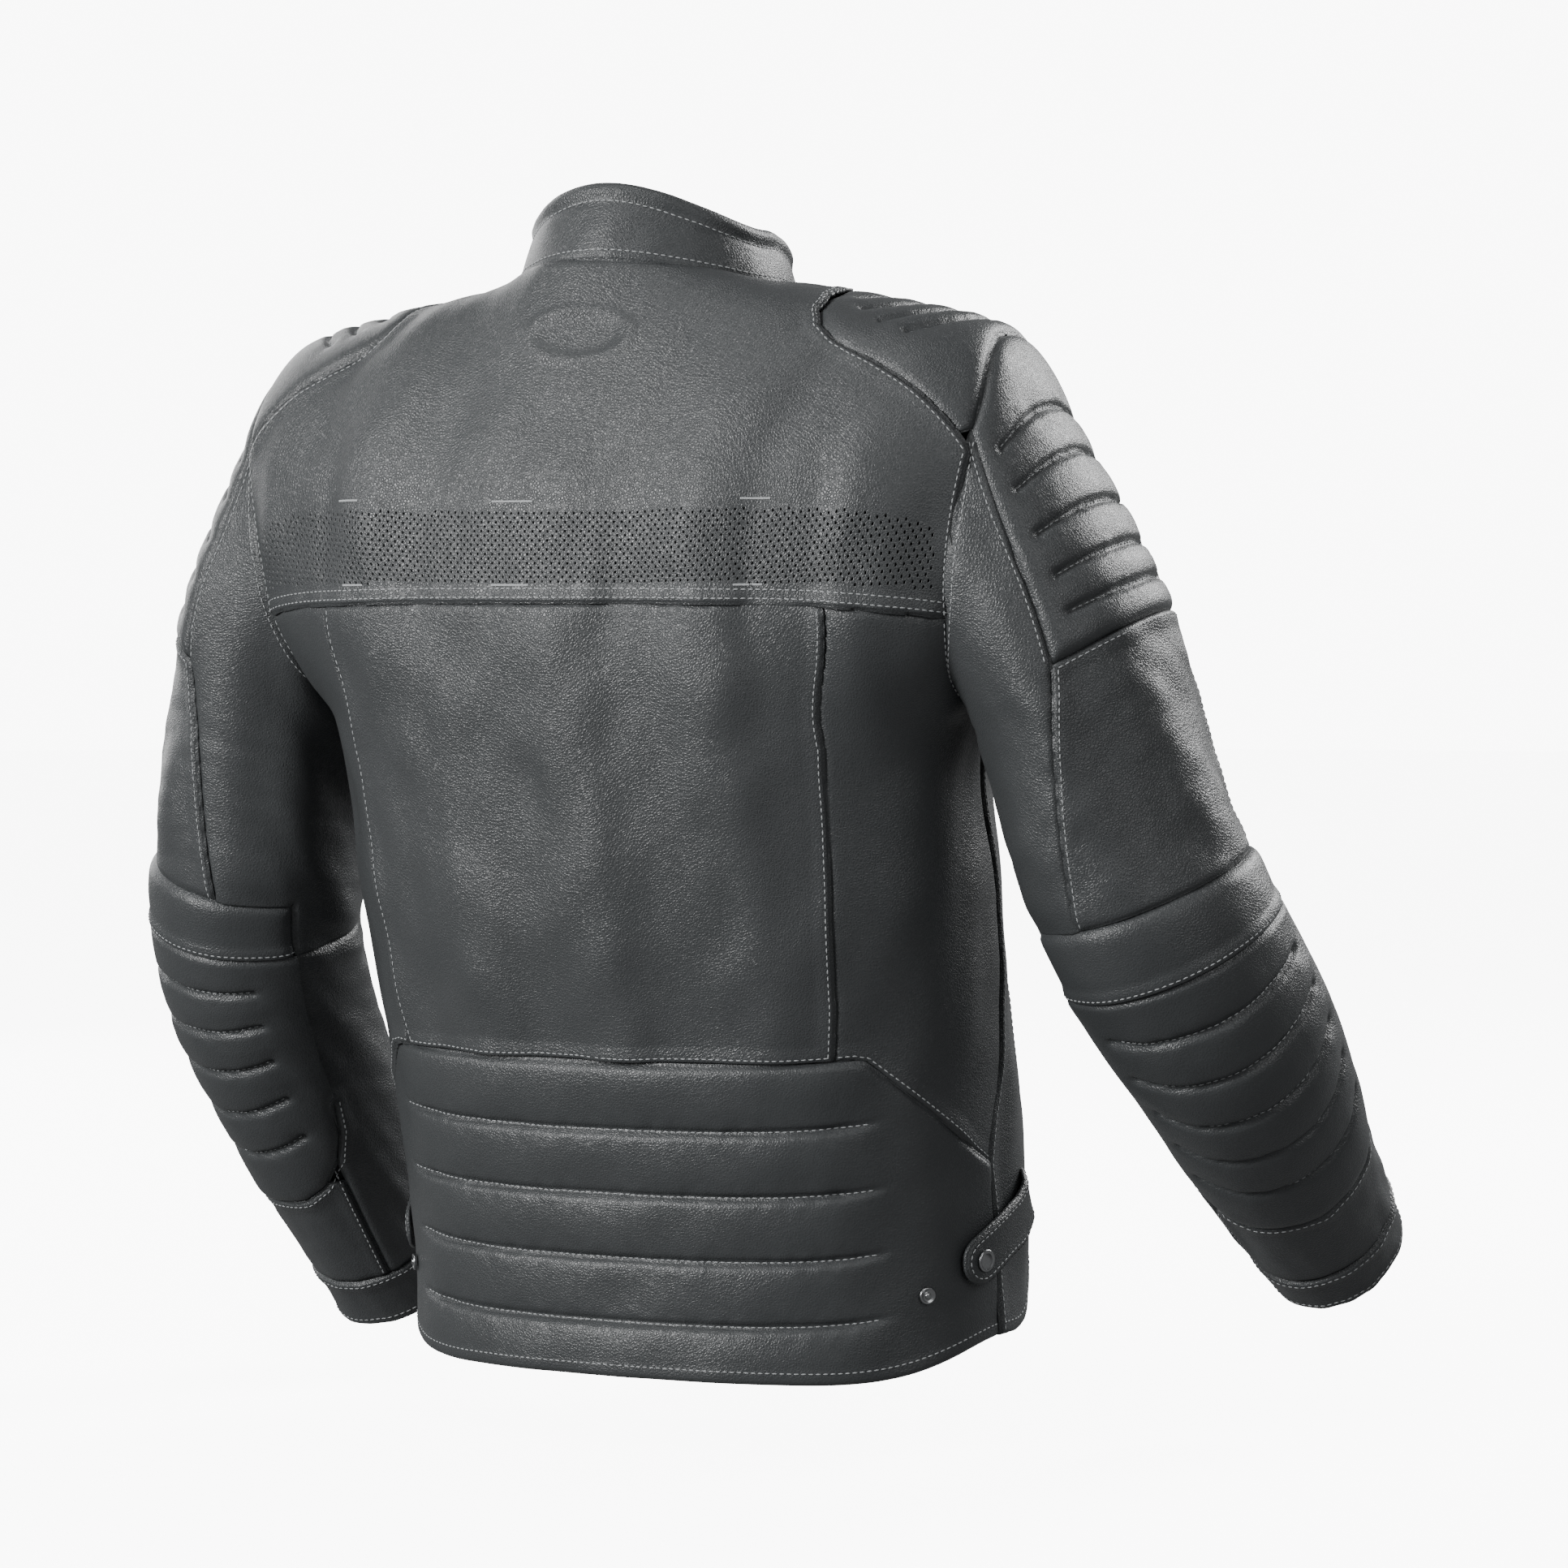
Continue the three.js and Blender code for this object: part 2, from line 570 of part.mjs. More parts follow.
const elbowPad = [
  ...acrossLine(PATCH_FRONT, PATCH_BACK, ELBOW, 8),
  [PATCH_BACK, 0.76], [PATCH_BACK - 12, 0.82], [PATCH_BACK - 45, ELBOW_PAD_END - 0.01],
  [51, ELBOW_PAD_END],
  [PATCH_FRONT + 45, ELBOW_PAD_END - 0.01], [PATCH_FRONT + 12, 0.82], [PATCH_FRONT, 0.76],
];
const forearm = [
  ...acrossLine(PATCH_BACK, PATCH_FRONT + 360, ELBOW, 8),
  around([PATCH_FRONT, 0.76]), around([PATCH_FRONT + 12, 0.82]), around([PATCH_FRONT + 45, ELBOW_PAD_END - 0.01]),
  around([51, ELBOW_PAD_END]),
  around([PATCH_BACK - 45, ELBOW_PAD_END - 0.01]), around([PATCH_BACK - 14, 0.825]),
  around([PATCH_BACK - 14, CUFF_START]),
  ...acrossLine(PATCH_BACK - 14 + 345, PATCH_BACK, CUFF_START, 12),
];
const LINING_SEAM = -178;
const CUFF_ZIP = { top: [205, 0.82], bottom: [205, 0.99] };
const cuffBand = [
  ...acrossLine(CUFF_ZIP.bottom[0] + 1, CUFF_ZIP.bottom[0] + 359, CUFF_START, 12),
  ...acrossLine(CUFF_ZIP.bottom[0] + 359, CUFF_ZIP.bottom[0] + 1, 1, 12),
];
const sleeves = [['right', -1, RIGHT_SLEEVE], ['left', 1, LEFT_SLEEVE]];
for (const [word, side, rows] of sleeves) {
  const form = sleeveForm(rows, side);
  const panel = (name, outline, thick, kind, holes) => add(
    `${name}_${word}`,
    panelGeometry(form, outline, 0, thick, holes),
    kind,
  );
  const seat = benchBetween(form, CUFF_ZIP.bottom, CUFF_ZIP.top, 0.2);
  const half = seat.length / 2;
  const guess = (f) => [205, 0.99 + (0.82 - 0.99) * f];
  const slot = slotFor(form, seat, STRIP_WIDTH, -half - 12, half + SLIP, guess);
  panel('upper_arm_pad', armPad, PADDED, 'padded');
  panel('upper_sleeve', outerPanel, LEATHER, 'leather');
  panel('under_sleeve', underSleeve, LEATHER, 'leather');
  panel('elbow_band', elbowBand, LEATHER + 1.5, 'padded');
  panel('elbow_pad', elbowPad, PADDED, 'padded');
  panel('forearm', forearm, LEATHER, 'leather', [slot]);
  panel('cuff_band', cuffBand, LEATHER, 'leather', [slot, slot.map(around)]);
  onBench(`cuff_zip_${word}`, stripGeometry(-half, half), 'tape', seat);
  const rest = -half + 10;
  onBench(`cuff_slider_${word}`, sliderGeometry(rest), 'metal', seat);
  onBench(`cuff_pull_${word}`, pullGeometry(rest), 'metal', seat);
  const inner = -LAYER - LINING;
  const tube = (from, to) => [
    ...acrossLine(LINING_SEAM, LINING_SEAM + 360, from, 12),
    ...acrossLine(LINING_SEAM + 360, LINING_SEAM, to, 12),
  ];
  const upperTube = tube(0.15, ELBOW);
  const lowerTube = tube(ELBOW, 0.985);
  add(`upper_lining_${word}`, panelGeometry(form, upperTube, inner, -LAYER), 'lining');
  add(`lower_lining_${word}`, panelGeometry(form, lowerTube, inner, -LAYER), 'lining');
  const shoulderCup = [
    ...acrossLine(-44, 44, 0.13, 4), ...acrossLine(30, -30, 0.27, 4),
  ];
  add(`shoulder_protector_${word}`, panelGeometry(form, shoulderCup, underLining - PROTECTOR, underLining), 'foam');
  const elbowCup = [
    ...acrossLine(0, 100, ELBOW + 0.012, 4), ...acrossLine(85, 15, 0.8, 4),
  ];
  add(`elbow_protector_${word}`, panelGeometry(form, elbowCup, underLining - PROTECTOR, underLining), 'foam');
}

// STRAPS AND SNAPS
const capsule = (length, width, steps) => {
  const outline = [];
  const half = width / 2;
  for (let i = 0; i <= steps; i += 1) {
    const a = rad(180 + 180 * i / steps);
    outline.push([half * Math.cos(a), -(length - half) + half * Math.sin(a)]);
  }
  for (let i = 0; i <= 4; i += 1) outline.push([half, -(length - half) * (1 - i / 4)]);
  for (let i = 0; i <= 4; i += 1) outline.push([-half, -(length - half) * i / 4]);
  return outline.filter(([x, y], i) => i === 0
    || Math.hypot(x - outline[i - 1][0], y - outline[i - 1][1]) > 0.5);
};
const disc = (radius, height, soften) => new THREE.LatheGeometry([
  new THREE.Vector2(0, 0),
  new THREE.Vector2(radius, 0),
  new THREE.Vector2(radius, height - soften),
  new THREE.Vector2(radius - soften, height),
  new THREE.Vector2(0, height),
], 20).rotateX(Math.PI / 2);
const WAIST_TAB = { root: [104, 0.15], tip: [72, 0.085], width: 28 };
const SPARE_STUD = [61, 0.075];
for (const [side, word] of [[1, 'right'], [-1, 'left']]) {
  const at = ([u, v]) => [side > 0 ? u : 360 - u, v];
  const root = bodyForm.point(...at(WAIST_TAB.root));
  const tip = bodyForm.point(...at(WAIST_TAB.tip));
  const outline = [];
  const steps = 8;
  const centreAt = (f) => at([
    WAIST_TAB.root[0] + (WAIST_TAB.tip[0] - WAIST_TAB.root[0]) * f,
    WAIST_TAB.root[1] + (WAIST_TAB.tip[1] - WAIST_TAB.root[1]) * f,
  ]);
  const offset = (f, across) => {
    const [u, v] = centreAt(f);
    const { pu, pv, out } = slopes(bodyForm, u, v);
    const along = tip.clone().sub(root).addScaledVector(out, -tip.clone().sub(root).dot(out)).normalize();
    const move = out.clone().cross(along).multiplyScalar(across);
    const uu = pu.dot(pu);
    const uv = pu.dot(pv);
    const vv = pv.dot(pv);
    const det = uu * vv - uv * uv;
    const mu = move.dot(pu);
    const mv = move.dot(pv);
    return [u + (mu * vv - mv * uv) / det, v + (mv * uu - mu * uv) / det];
  };
  const length = tip.distanceTo(root);
  const half = WAIST_TAB.width / 2;
  const roundStart = 1 - half / length;
  for (let i = 0; i <= 4; i += 1) outline.push(offset(roundStart * i / 4, half));
  for (let i = 1; i < steps; i += 1) {
    const a = rad(90 - 180 * i / steps);
    outline.push(offset(roundStart + (half / length) * Math.cos(a), half * Math.sin(a)));
  }
  for (let i = 4; i >= 0; i -= 1) outline.push(offset(roundStart * i / 4, -half));
  const low = PADDED + SLIP + 0.6;
  add(`waist_tab_${word}`, panelGeometry(bodyForm, outline, low, low + STRAP, [], 0), 'leather');
  const snap = (name, [u, v], height, geometry) => {
    const { out } = slopes(bodyForm, u, v);
    const seat = bench(lift(bodyForm, u, v, height), new THREE.Vector3(0, 0, 1), out);
    onBench(name, geometry, 'metal', seat);
  };
  const capSpot = centreAt(1 - half / length);
  snap(`waist_cap_${word}`, capSpot, low + STRAP + 0.5, disc(CAP_RADIUS, CAP_HEIGHT, 0.8));
  snap(`waist_stud_${word}`, at(SPARE_STUD), PADDED + 0.6, disc(STUD_RADIUS, 2, 0.6));
}

// HANGER LOOP: a straight strap across the inside of the back neck
const LOOP = { level: 0.955, half: 30, height: 8, thick: 1.4 };
const loopSeat = bench(
  bodyForm.point(0, LOOP.level),
  new THREE.Vector3(0, 0, 1),
  new THREE.Vector3(0, 1, 0),
);
// How far the inside of a curved panel stands in from the bench at a distance across
const depthAt = (form, seat, level, across, h) => {
  let turn = 0;
  for (let i = 0; i < 40; i += 1) {
    turn += (across - Math.abs(form.point(turn, level).x)) * 0.3;
  }
  const inverse = seat.frame.clone().invert();
  return lift(form, turn, level, h).applyMatrix4(inverse).z;
};
const loopOut = depthAt(bodyForm, loopSeat, LOOP.level + 0.008, LOOP.half, 0) - 0.5;
onBench('hanger_loop', box(
  -LOOP.half, LOOP.half, -LOOP.height / 2, LOOP.height / 2, loopOut - LOOP.thick, loopOut,
), 'tape', loopSeat);
const HANGER = loopSeat.toWorld(0, 0, loopOut - LOOP.thick / 2);

// TROUSER ZIP: one half of a connecting zip inside the back hem
const TROUSER_ZIP = { level: 0.07, half: 60, height: 22, thick: 2 };
const hemSeat = bench(
  bodyForm.point(0, TROUSER_ZIP.level),
  new THREE.Vector3(0, 0, 1),
  new THREE.Vector3(0, 1, 0),
);
const hemOut = depthAt(bodyForm, hemSeat, TROUSER_ZIP.level - 0.02, TROUSER_ZIP.half, -BODY_LAYER - LINING) - 0.5;
onBench('trouser_zip', box(
  -TROUSER_ZIP.half, TROUSER_ZIP.half, -TROUSER_ZIP.height / 2, TROUSER_ZIP.height / 2,
  hemOut - TROUSER_ZIP.thick, hemOut,
), 'tape', hemSeat);

// COLLAR TAB across the front of the stand
const COLLAR_TAB = { root: 162, tip: 200, low: 0.3, high: 0.75 };
const collarLow = COLLAR_THICKNESS / 2 + SLIP + 0.2;
const middle = (COLLAR_TAB.low + COLLAR_TAB.high) / 2;
const tabEnd = COLLAR_TAB.tip - 7;
const collarTab = [
  [COLLAR_TAB.root, COLLAR_TAB.low], [180, COLLAR_TAB.low], [tabEnd, COLLAR_TAB.low],
  [tabEnd + 5, middle - 0.12], [COLLAR_TAB.tip, middle], [tabEnd + 5, middle + 0.12],
  [tabEnd, COLLAR_TAB.high], [180, COLLAR_TAB.high], [COLLAR_TAB.root, COLLAR_TAB.high],
];
add('collar_tab', panelGeometry(collarForm, collarTab, collarLow, collarLow + STRAP, [], 0), 'leather');

// Shift so that the hanger loop is the origin
jacket.children.forEach((mesh) => mesh.geometry.translate(-HANGER.x, -HANGER.y, -HANGER.z));

export default jacket;
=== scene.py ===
# %% [markdown]
# # A leather riding jacket
# The jacket is worn by nobody: it keeps the shape of a body, as on an invisible stand.
# Its solids already exist as a frame of plain shells. Here each shell is given the look of sewn leather.
# Every panel is a flat grid that is trimmed to its pattern outline and then laid over the body's form,
# because a real jacket is made the same way: flat pieces, cut to shape, that bend round a body.

# %% Tools and the frame
import json
import math

import bmesh
import bpy
import numpy as np
from mathutils import Matrix, Vector
from mathutils.bvhtree import BVHTree
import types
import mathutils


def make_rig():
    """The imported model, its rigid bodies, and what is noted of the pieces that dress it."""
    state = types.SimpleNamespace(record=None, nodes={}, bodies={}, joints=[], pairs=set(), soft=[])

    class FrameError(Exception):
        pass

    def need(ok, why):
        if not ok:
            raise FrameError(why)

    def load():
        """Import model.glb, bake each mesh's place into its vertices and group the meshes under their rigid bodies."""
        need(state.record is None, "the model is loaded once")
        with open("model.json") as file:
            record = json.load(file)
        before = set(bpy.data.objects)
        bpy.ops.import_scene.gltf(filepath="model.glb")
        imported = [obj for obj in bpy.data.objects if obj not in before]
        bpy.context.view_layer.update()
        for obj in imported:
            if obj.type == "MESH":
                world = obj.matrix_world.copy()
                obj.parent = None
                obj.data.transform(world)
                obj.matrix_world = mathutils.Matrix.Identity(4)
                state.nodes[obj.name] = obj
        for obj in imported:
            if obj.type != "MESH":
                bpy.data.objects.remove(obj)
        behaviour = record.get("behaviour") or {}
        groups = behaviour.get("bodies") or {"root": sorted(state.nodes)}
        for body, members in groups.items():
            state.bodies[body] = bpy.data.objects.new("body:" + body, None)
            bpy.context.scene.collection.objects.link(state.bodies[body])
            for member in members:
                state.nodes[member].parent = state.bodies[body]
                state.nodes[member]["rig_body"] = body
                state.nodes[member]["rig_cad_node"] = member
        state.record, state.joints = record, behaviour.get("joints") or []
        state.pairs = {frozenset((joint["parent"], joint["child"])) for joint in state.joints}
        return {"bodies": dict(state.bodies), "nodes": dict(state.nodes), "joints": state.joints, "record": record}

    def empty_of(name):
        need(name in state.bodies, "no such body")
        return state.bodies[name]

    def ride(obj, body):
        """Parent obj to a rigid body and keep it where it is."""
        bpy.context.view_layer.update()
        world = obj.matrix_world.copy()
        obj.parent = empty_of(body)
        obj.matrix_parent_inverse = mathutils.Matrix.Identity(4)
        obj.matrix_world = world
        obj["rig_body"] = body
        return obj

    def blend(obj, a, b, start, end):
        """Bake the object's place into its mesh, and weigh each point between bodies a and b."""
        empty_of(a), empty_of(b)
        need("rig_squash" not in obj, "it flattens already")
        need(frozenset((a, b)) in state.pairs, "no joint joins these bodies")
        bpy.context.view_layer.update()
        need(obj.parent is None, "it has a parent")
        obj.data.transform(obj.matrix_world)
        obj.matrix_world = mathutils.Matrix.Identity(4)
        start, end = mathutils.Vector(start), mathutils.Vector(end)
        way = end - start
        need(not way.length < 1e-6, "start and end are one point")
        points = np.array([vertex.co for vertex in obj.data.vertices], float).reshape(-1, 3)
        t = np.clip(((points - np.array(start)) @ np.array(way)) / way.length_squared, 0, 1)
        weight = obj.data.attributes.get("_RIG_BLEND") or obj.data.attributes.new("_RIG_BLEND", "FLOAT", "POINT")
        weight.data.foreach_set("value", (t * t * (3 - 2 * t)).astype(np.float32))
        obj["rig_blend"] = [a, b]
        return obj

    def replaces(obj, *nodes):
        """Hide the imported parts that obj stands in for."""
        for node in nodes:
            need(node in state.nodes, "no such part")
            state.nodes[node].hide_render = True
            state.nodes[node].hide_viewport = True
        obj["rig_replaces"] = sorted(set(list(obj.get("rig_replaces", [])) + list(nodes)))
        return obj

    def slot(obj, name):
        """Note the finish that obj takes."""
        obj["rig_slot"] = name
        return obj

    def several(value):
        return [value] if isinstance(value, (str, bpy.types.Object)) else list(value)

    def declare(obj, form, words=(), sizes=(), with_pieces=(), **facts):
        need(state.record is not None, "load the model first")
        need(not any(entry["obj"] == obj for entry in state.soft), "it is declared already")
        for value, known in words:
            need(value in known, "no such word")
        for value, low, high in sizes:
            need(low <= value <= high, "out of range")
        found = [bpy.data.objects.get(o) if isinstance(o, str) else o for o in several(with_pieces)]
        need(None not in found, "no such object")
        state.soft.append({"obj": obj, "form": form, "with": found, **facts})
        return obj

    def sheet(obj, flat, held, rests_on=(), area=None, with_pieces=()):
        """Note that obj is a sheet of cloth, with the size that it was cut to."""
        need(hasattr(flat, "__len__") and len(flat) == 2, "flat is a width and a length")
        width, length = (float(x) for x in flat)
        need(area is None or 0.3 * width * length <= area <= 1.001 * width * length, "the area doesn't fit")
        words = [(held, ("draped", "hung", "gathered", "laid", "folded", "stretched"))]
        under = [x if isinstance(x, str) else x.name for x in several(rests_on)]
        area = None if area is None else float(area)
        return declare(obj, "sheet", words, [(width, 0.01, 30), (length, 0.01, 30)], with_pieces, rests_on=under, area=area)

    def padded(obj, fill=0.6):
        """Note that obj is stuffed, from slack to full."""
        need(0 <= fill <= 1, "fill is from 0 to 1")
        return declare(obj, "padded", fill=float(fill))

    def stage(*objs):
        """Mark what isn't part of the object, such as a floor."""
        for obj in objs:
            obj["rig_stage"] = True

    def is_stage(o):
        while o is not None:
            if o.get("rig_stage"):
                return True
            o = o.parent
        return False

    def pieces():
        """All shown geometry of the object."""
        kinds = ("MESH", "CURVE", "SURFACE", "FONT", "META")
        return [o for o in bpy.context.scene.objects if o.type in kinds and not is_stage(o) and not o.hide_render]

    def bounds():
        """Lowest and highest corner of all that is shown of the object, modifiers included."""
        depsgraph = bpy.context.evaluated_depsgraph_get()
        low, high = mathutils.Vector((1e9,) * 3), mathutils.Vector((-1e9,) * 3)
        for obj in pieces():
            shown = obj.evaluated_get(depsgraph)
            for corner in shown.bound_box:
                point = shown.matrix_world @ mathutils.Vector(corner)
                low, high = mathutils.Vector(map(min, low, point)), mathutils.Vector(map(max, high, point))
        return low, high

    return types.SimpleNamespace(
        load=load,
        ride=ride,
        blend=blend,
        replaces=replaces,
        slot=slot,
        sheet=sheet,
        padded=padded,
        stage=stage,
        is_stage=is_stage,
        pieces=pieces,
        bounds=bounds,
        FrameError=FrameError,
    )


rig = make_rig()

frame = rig.load()
cad_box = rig.bounds()
print("frame loaded:", len(frame["nodes"]), "solids")

# %% [markdown]
# The form of the body is a table of rings, from the hem to the neck, and each sleeve is a table of
# rings down the arm. A point is found by an angle round the ring and a level along the table.
# Curves through the rings keep it smooth. A surface subdivision cage could do this as well, but a
# formula lets seams, stitches and zips be placed on exactly the same surface.

# %% The rings of the body, collar and sleeves, in millimetres
ORIGIN = np.array([0.0, 115.878, 612.492])
BODY = [
    (0.00, 184, -40, 80, -150.0, 12, 35, 98, 2.4, 8),
    (0.10, 185, -36, 82, -141.3, 70, 85, 140, 2.4, 6),
    (0.28, 188, -15, 102, -125.8, 175, 185, 215, 2.4, 4),
    (0.45, 189, 15, 131, -108.3, 280, 284, 300, 2.4, 2),
    (0.62, 196, 34, 150, -90.7, 385, 382, 385, 2.5, 2),
    (0.72, 240, 52, 155, -79.4, 450, 455, 440, 2.5, 2),
    (0.82, 250, 48, 152, -69.1, 510, 548, 490, 2.5, 2),
    (0.88, 222, 38, 140, -61.8, 555, 596, 525, 2.4, 2),
    (0.94, 160, 38, 124, -56.7, 602, 614, 550, 2.2, 2),
    (1.00, 77, 38, 111, -51.5, 642, 628, 575, 2.0, 2),
]
STAND = [
    (0.0, 77, 38, 111, -51.5, 642, 628, 575),
    (0.5, 73, 38, 104, -49.0, 665, 645, 596),
    (1.0, 68, 37, 97, -46.0, 686, 661, 617),
]
SLEEVE_TOP = [
    (0.00, 224, 38, 497, 10, 0, 102, 82),
    (0.08, 234, 36, 471, 23, 3, 79, 78),
    (0.16, 251, 34, 441, 42, 6, 61, 74),
    (0.24, 260, 31, 415, 61, 9, 56, 71),
    (0.32, 267, 27, 386, 72, 11, 56, 68),
    (0.45, 284, 16, 318, 74, 13, 59, 66),
]
RIGHT_SLEEVE = SLEEVE_TOP + [
    (0.57, 305, 0, 262, 77, 24, 58, 62),
    (0.70, 323, -40, 205, 84, 42, 54, 56),
    (0.85, 325, -115, 137, 86, 48, 47, 48),
    (1.00, 325, -190, 75, 86, 50, 37, 39),
]
LEFT_SLEEVE = SLEEVE_TOP + [
    (0.57, 297, 0, 262, 80, 18, 59, 62),
    (0.70, 304, -32, 200, 90, 28, 56, 57),
    (0.85, 299, -88, 113, 94, 32, 47, 48),
    (1.00, 288, -146, 24, 95, 33, 37, 39),
]


def ring_values(rows, level):
    """Smooth values between the rings of a table."""
    at = np.array([r[0] for r in rows], float)
    values = np.array([r[1:] for r in rows], float)
    level = np.asarray(level, float)
    slope = np.zeros_like(values)
    slope[1:-1] = (values[2:] - values[:-2]) / (at[2:] - at[:-2])[:, None]
    slope[0] = (values[1] - values[0]) / (at[1] - at[0])
    slope[-1] = (values[-1] - values[-2]) / (at[-1] - at[-2])
    k = np.clip(np.searchsorted(at, level, side="left") - 1, 0, len(at) - 2)
    span = (at[k + 1] - at[k])[..., None]
    f = ((level - at[k]) / (at[k + 1] - at[k]))[..., None]
    inside = ((2 * f**3 - 3 * f**2 + 1) * values[k] + (f**3 - 2 * f**2 + f) * span * slope[k]
              + (-2 * f**3 + 3 * f**2) * values[k + 1] + (f**3 - f**2) * span * slope[k + 1])
    below = values[0] + (level - at[0])[..., None] * slope[0]
    above = values[-1] + (level - at[-1])[..., None] * slope[-1]
    result = np.where((level < at[0])[..., None], below, inside)
    result = np.where((level > at[-1])[..., None], above, result)
    return np.moveaxis(result, -1, 0)


def bent(x, p):
    return np.sign(x) * np.abs(x) ** p


def body_form(angle, level):
    """Angle 0 is the centre back, 90 the wearer's right side, 180 the front."""
    angle, level = np.broadcast_arrays(np.asarray(angle, float), np.asarray(level, float))
    a, side, back, front, zb, zs, zf, power, climb = ring_values(BODY, level)
    c, s = np.cos(np.radians(angle)), np.sin(np.radians(angle))
    reach = np.where(c >= 0, back - side, side - front)
    middle = np.where(c >= 0, zb, zf)
    point = np.stack([-a * bent(s, 2 / power), side + reach * bent(c, 2 / power),
                      middle + (zs - middle) * np.abs(s) ** climb], -1)
    return point - ORIGIN


def collar_form(angle, height):
    angle, height = np.broadcast_arrays(np.asarray(angle, float), np.asarray(height, float))
    a, side, back, front, zb, zs, zf = ring_values(STAND, height)
    c, s = np.cos(np.radians(angle)), np.sin(np.radians(angle))
    reach = np.where(c >= 0, back - side, side - front)
    middle = np.where(c >= 0, zb, zf)
    return np.stack([-a * s, side + reach * c, middle + (zs - middle) * s * s], -1) - ORIGIN


def armhole(turn):
    """The armhole seam on the body: turn 0 is the shoulder tip, 90 the back, 180 the armpit."""
    c, s = np.cos(np.radians(turn)), np.sin(np.radians(turn))
    return 92 - np.where(s > 0, 31, 33) * s, 0.765 + np.where(c > 0, 0.118, 0.12) * c


def sleeve_edge(angle):
    """How far down the arm the sleeve's own leather starts, furthest at the armpit."""
    return 0.0002 + 0.15 * ((1 - np.cos(np.radians(angle))) / 2) ** 1.5


def make_sleeve(rows, side):
    """A sleeve: side -1 is the wearer's right. Near the top it takes the armhole's shape."""
    def ring(angle, down):
        out, y, z, lean, tip, ra, rb = ring_values(rows, down)
        lean, tip = np.radians(lean), np.radians(tip)
        c, s = ra * np.cos(np.radians(angle)), rb * np.sin(np.radians(angle))
        return np.stack([out + c * np.sin(lean), y + c * np.cos(lean) * np.sin(tip) + s * np.cos(tip),
                         z + c * np.cos(lean) * np.cos(tip) - s * np.sin(tip)], -1)

    def sleeve(angle, down):
        angle, down = np.broadcast_arrays(np.asarray(angle, float), np.asarray(down, float))
        point = ring(angle, down)
        edge = sleeve_edge(angle)
        hold = np.clip(1 - (down - edge) / 0.3, 0, 1) ** 2
        seat = body_form(*armhole(angle)) + ORIGIN
        seat[..., 0] = np.abs(seat[..., 0])
        point = point + hold[..., None] * (seat - ring(angle, edge))
        point[..., 0] *= side
        return point - ORIGIN
    sleeve.facing = -side
    return sleeve


body_form.facing = 1
collar_form.facing = 1
FORMS = {"right": make_sleeve(RIGHT_SLEEVE, -1), "left": make_sleeve(LEFT_SLEEVE, 1)}


def slopes(form, u, v):
    """The two directions along a form and the one out of it."""
    pu = form(u + 0.5, v) - form(u - 0.5, v)
    pv = (form(u, v + 0.004) - form(u, v - 0.004)) / 0.008
    out = np.cross(pu, pv) * form.facing
    out /= np.linalg.norm(out, axis=-1, keepdims=True) + 1e-12
    return pu, pv, out


def laid(form, u, v, h):
    """Places in metres for pattern points lifted off a form by h millimetres."""
    u, v = np.asarray(u, float), np.asarray(v, float)
    return (form(u, v) + slopes(form, u, v)[2] * np.asarray(h, float)[..., None]) / 1000


print("body ring at the waist:", np.round(body_form(np.array([0, 90, 180]), 0.28), 1).tolist())

# %% [markdown]
# Folds and puckers need a soft, repeatable unevenness. A few dozen waves of random directions added
# together give that, and the same seed gives the same folds each time.

# %% Soft unevenness, steps and distances
def waves(points, seed, size, count=14):
    """Smooth unevenness from -1 to 1 with bumps of about the given size in millimetres."""
    draw = np.random.default_rng(seed)
    turn = draw.normal(size=(count, 3))
    turn *= (2 * math.pi / (size * draw.uniform(0.7, 1.6, count)) / np.linalg.norm(turn, axis=1))[:, None]
    phase = draw.uniform(0, 2 * math.pi, count)
    return np.sin(points @ turn.T + phase).sum(1) / math.sqrt(count) * 0.8


def ease(low, high, x):
    f = np.clip((x - low) / (high - low), 0, 1)
    return f * f * (3 - 2 * f)


def thicken_line(line):
    """More points along a pattern line, so that it bends with the form."""
    line = np.asarray(line, float)
    out = [line[:1]]
    for a, b in zip(line[:-1], line[1:]):
        n = max(1, int(math.ceil(max(abs(b[0] - a[0]) / 4, abs(b[1] - a[1]) / 0.02))))
        out.append(a + (b - a) * (np.arange(1, n + 1) / n)[:, None])
    return np.concatenate(out)


def distance_to(points, line):
    """Shortest distance from each point to a line in space, with how far along it lies."""
    best = np.full(len(points), 1e9)
    along = np.zeros(len(points))
    travelled = 0.0
    for a, b in zip(line[:-1], line[1:]):
        d = b - a
        length = float(np.linalg.norm(d)) + 1e-9
        f = np.clip((points - a) @ d / length**2, 0, 1)
        gap = np.linalg.norm(points - a - f[:, None] * d, axis=1)
        closer = gap < best
        best = np.where(closer, gap, best)
        along = np.where(closer, travelled + f * length, along)
        travelled += length
    return best, along


def inside_outline(u, v, outline):
    odd = np.zeros(len(u), bool)
    x0, y0 = outline[:, 0], outline[:, 1]
    x1, y1 = np.roll(x0, -1), np.roll(y0, -1)
    for a, b, c, d in zip(x0, y0, x1, y1):
        if b == d:
            continue
        cross = (b > v) != (d > v)
        odd ^= cross & (u < (c - a) * (v - b) / (d - b) + a)
    return odd


print("a wave of 20 mm bumps at the origin:", round(float(waves(np.zeros((1, 3)), 1, 20)[0]), 3))

# %% [markdown]
# Leather has a fine pebbled grain, faint creases and a satin coat. The grain is small cells, so a
# Voronoi pattern fits it. It drives the bump and a little of the roughness. The colour is nearly black
# and slightly cool, and varies gently, since hides take dye unevenly.

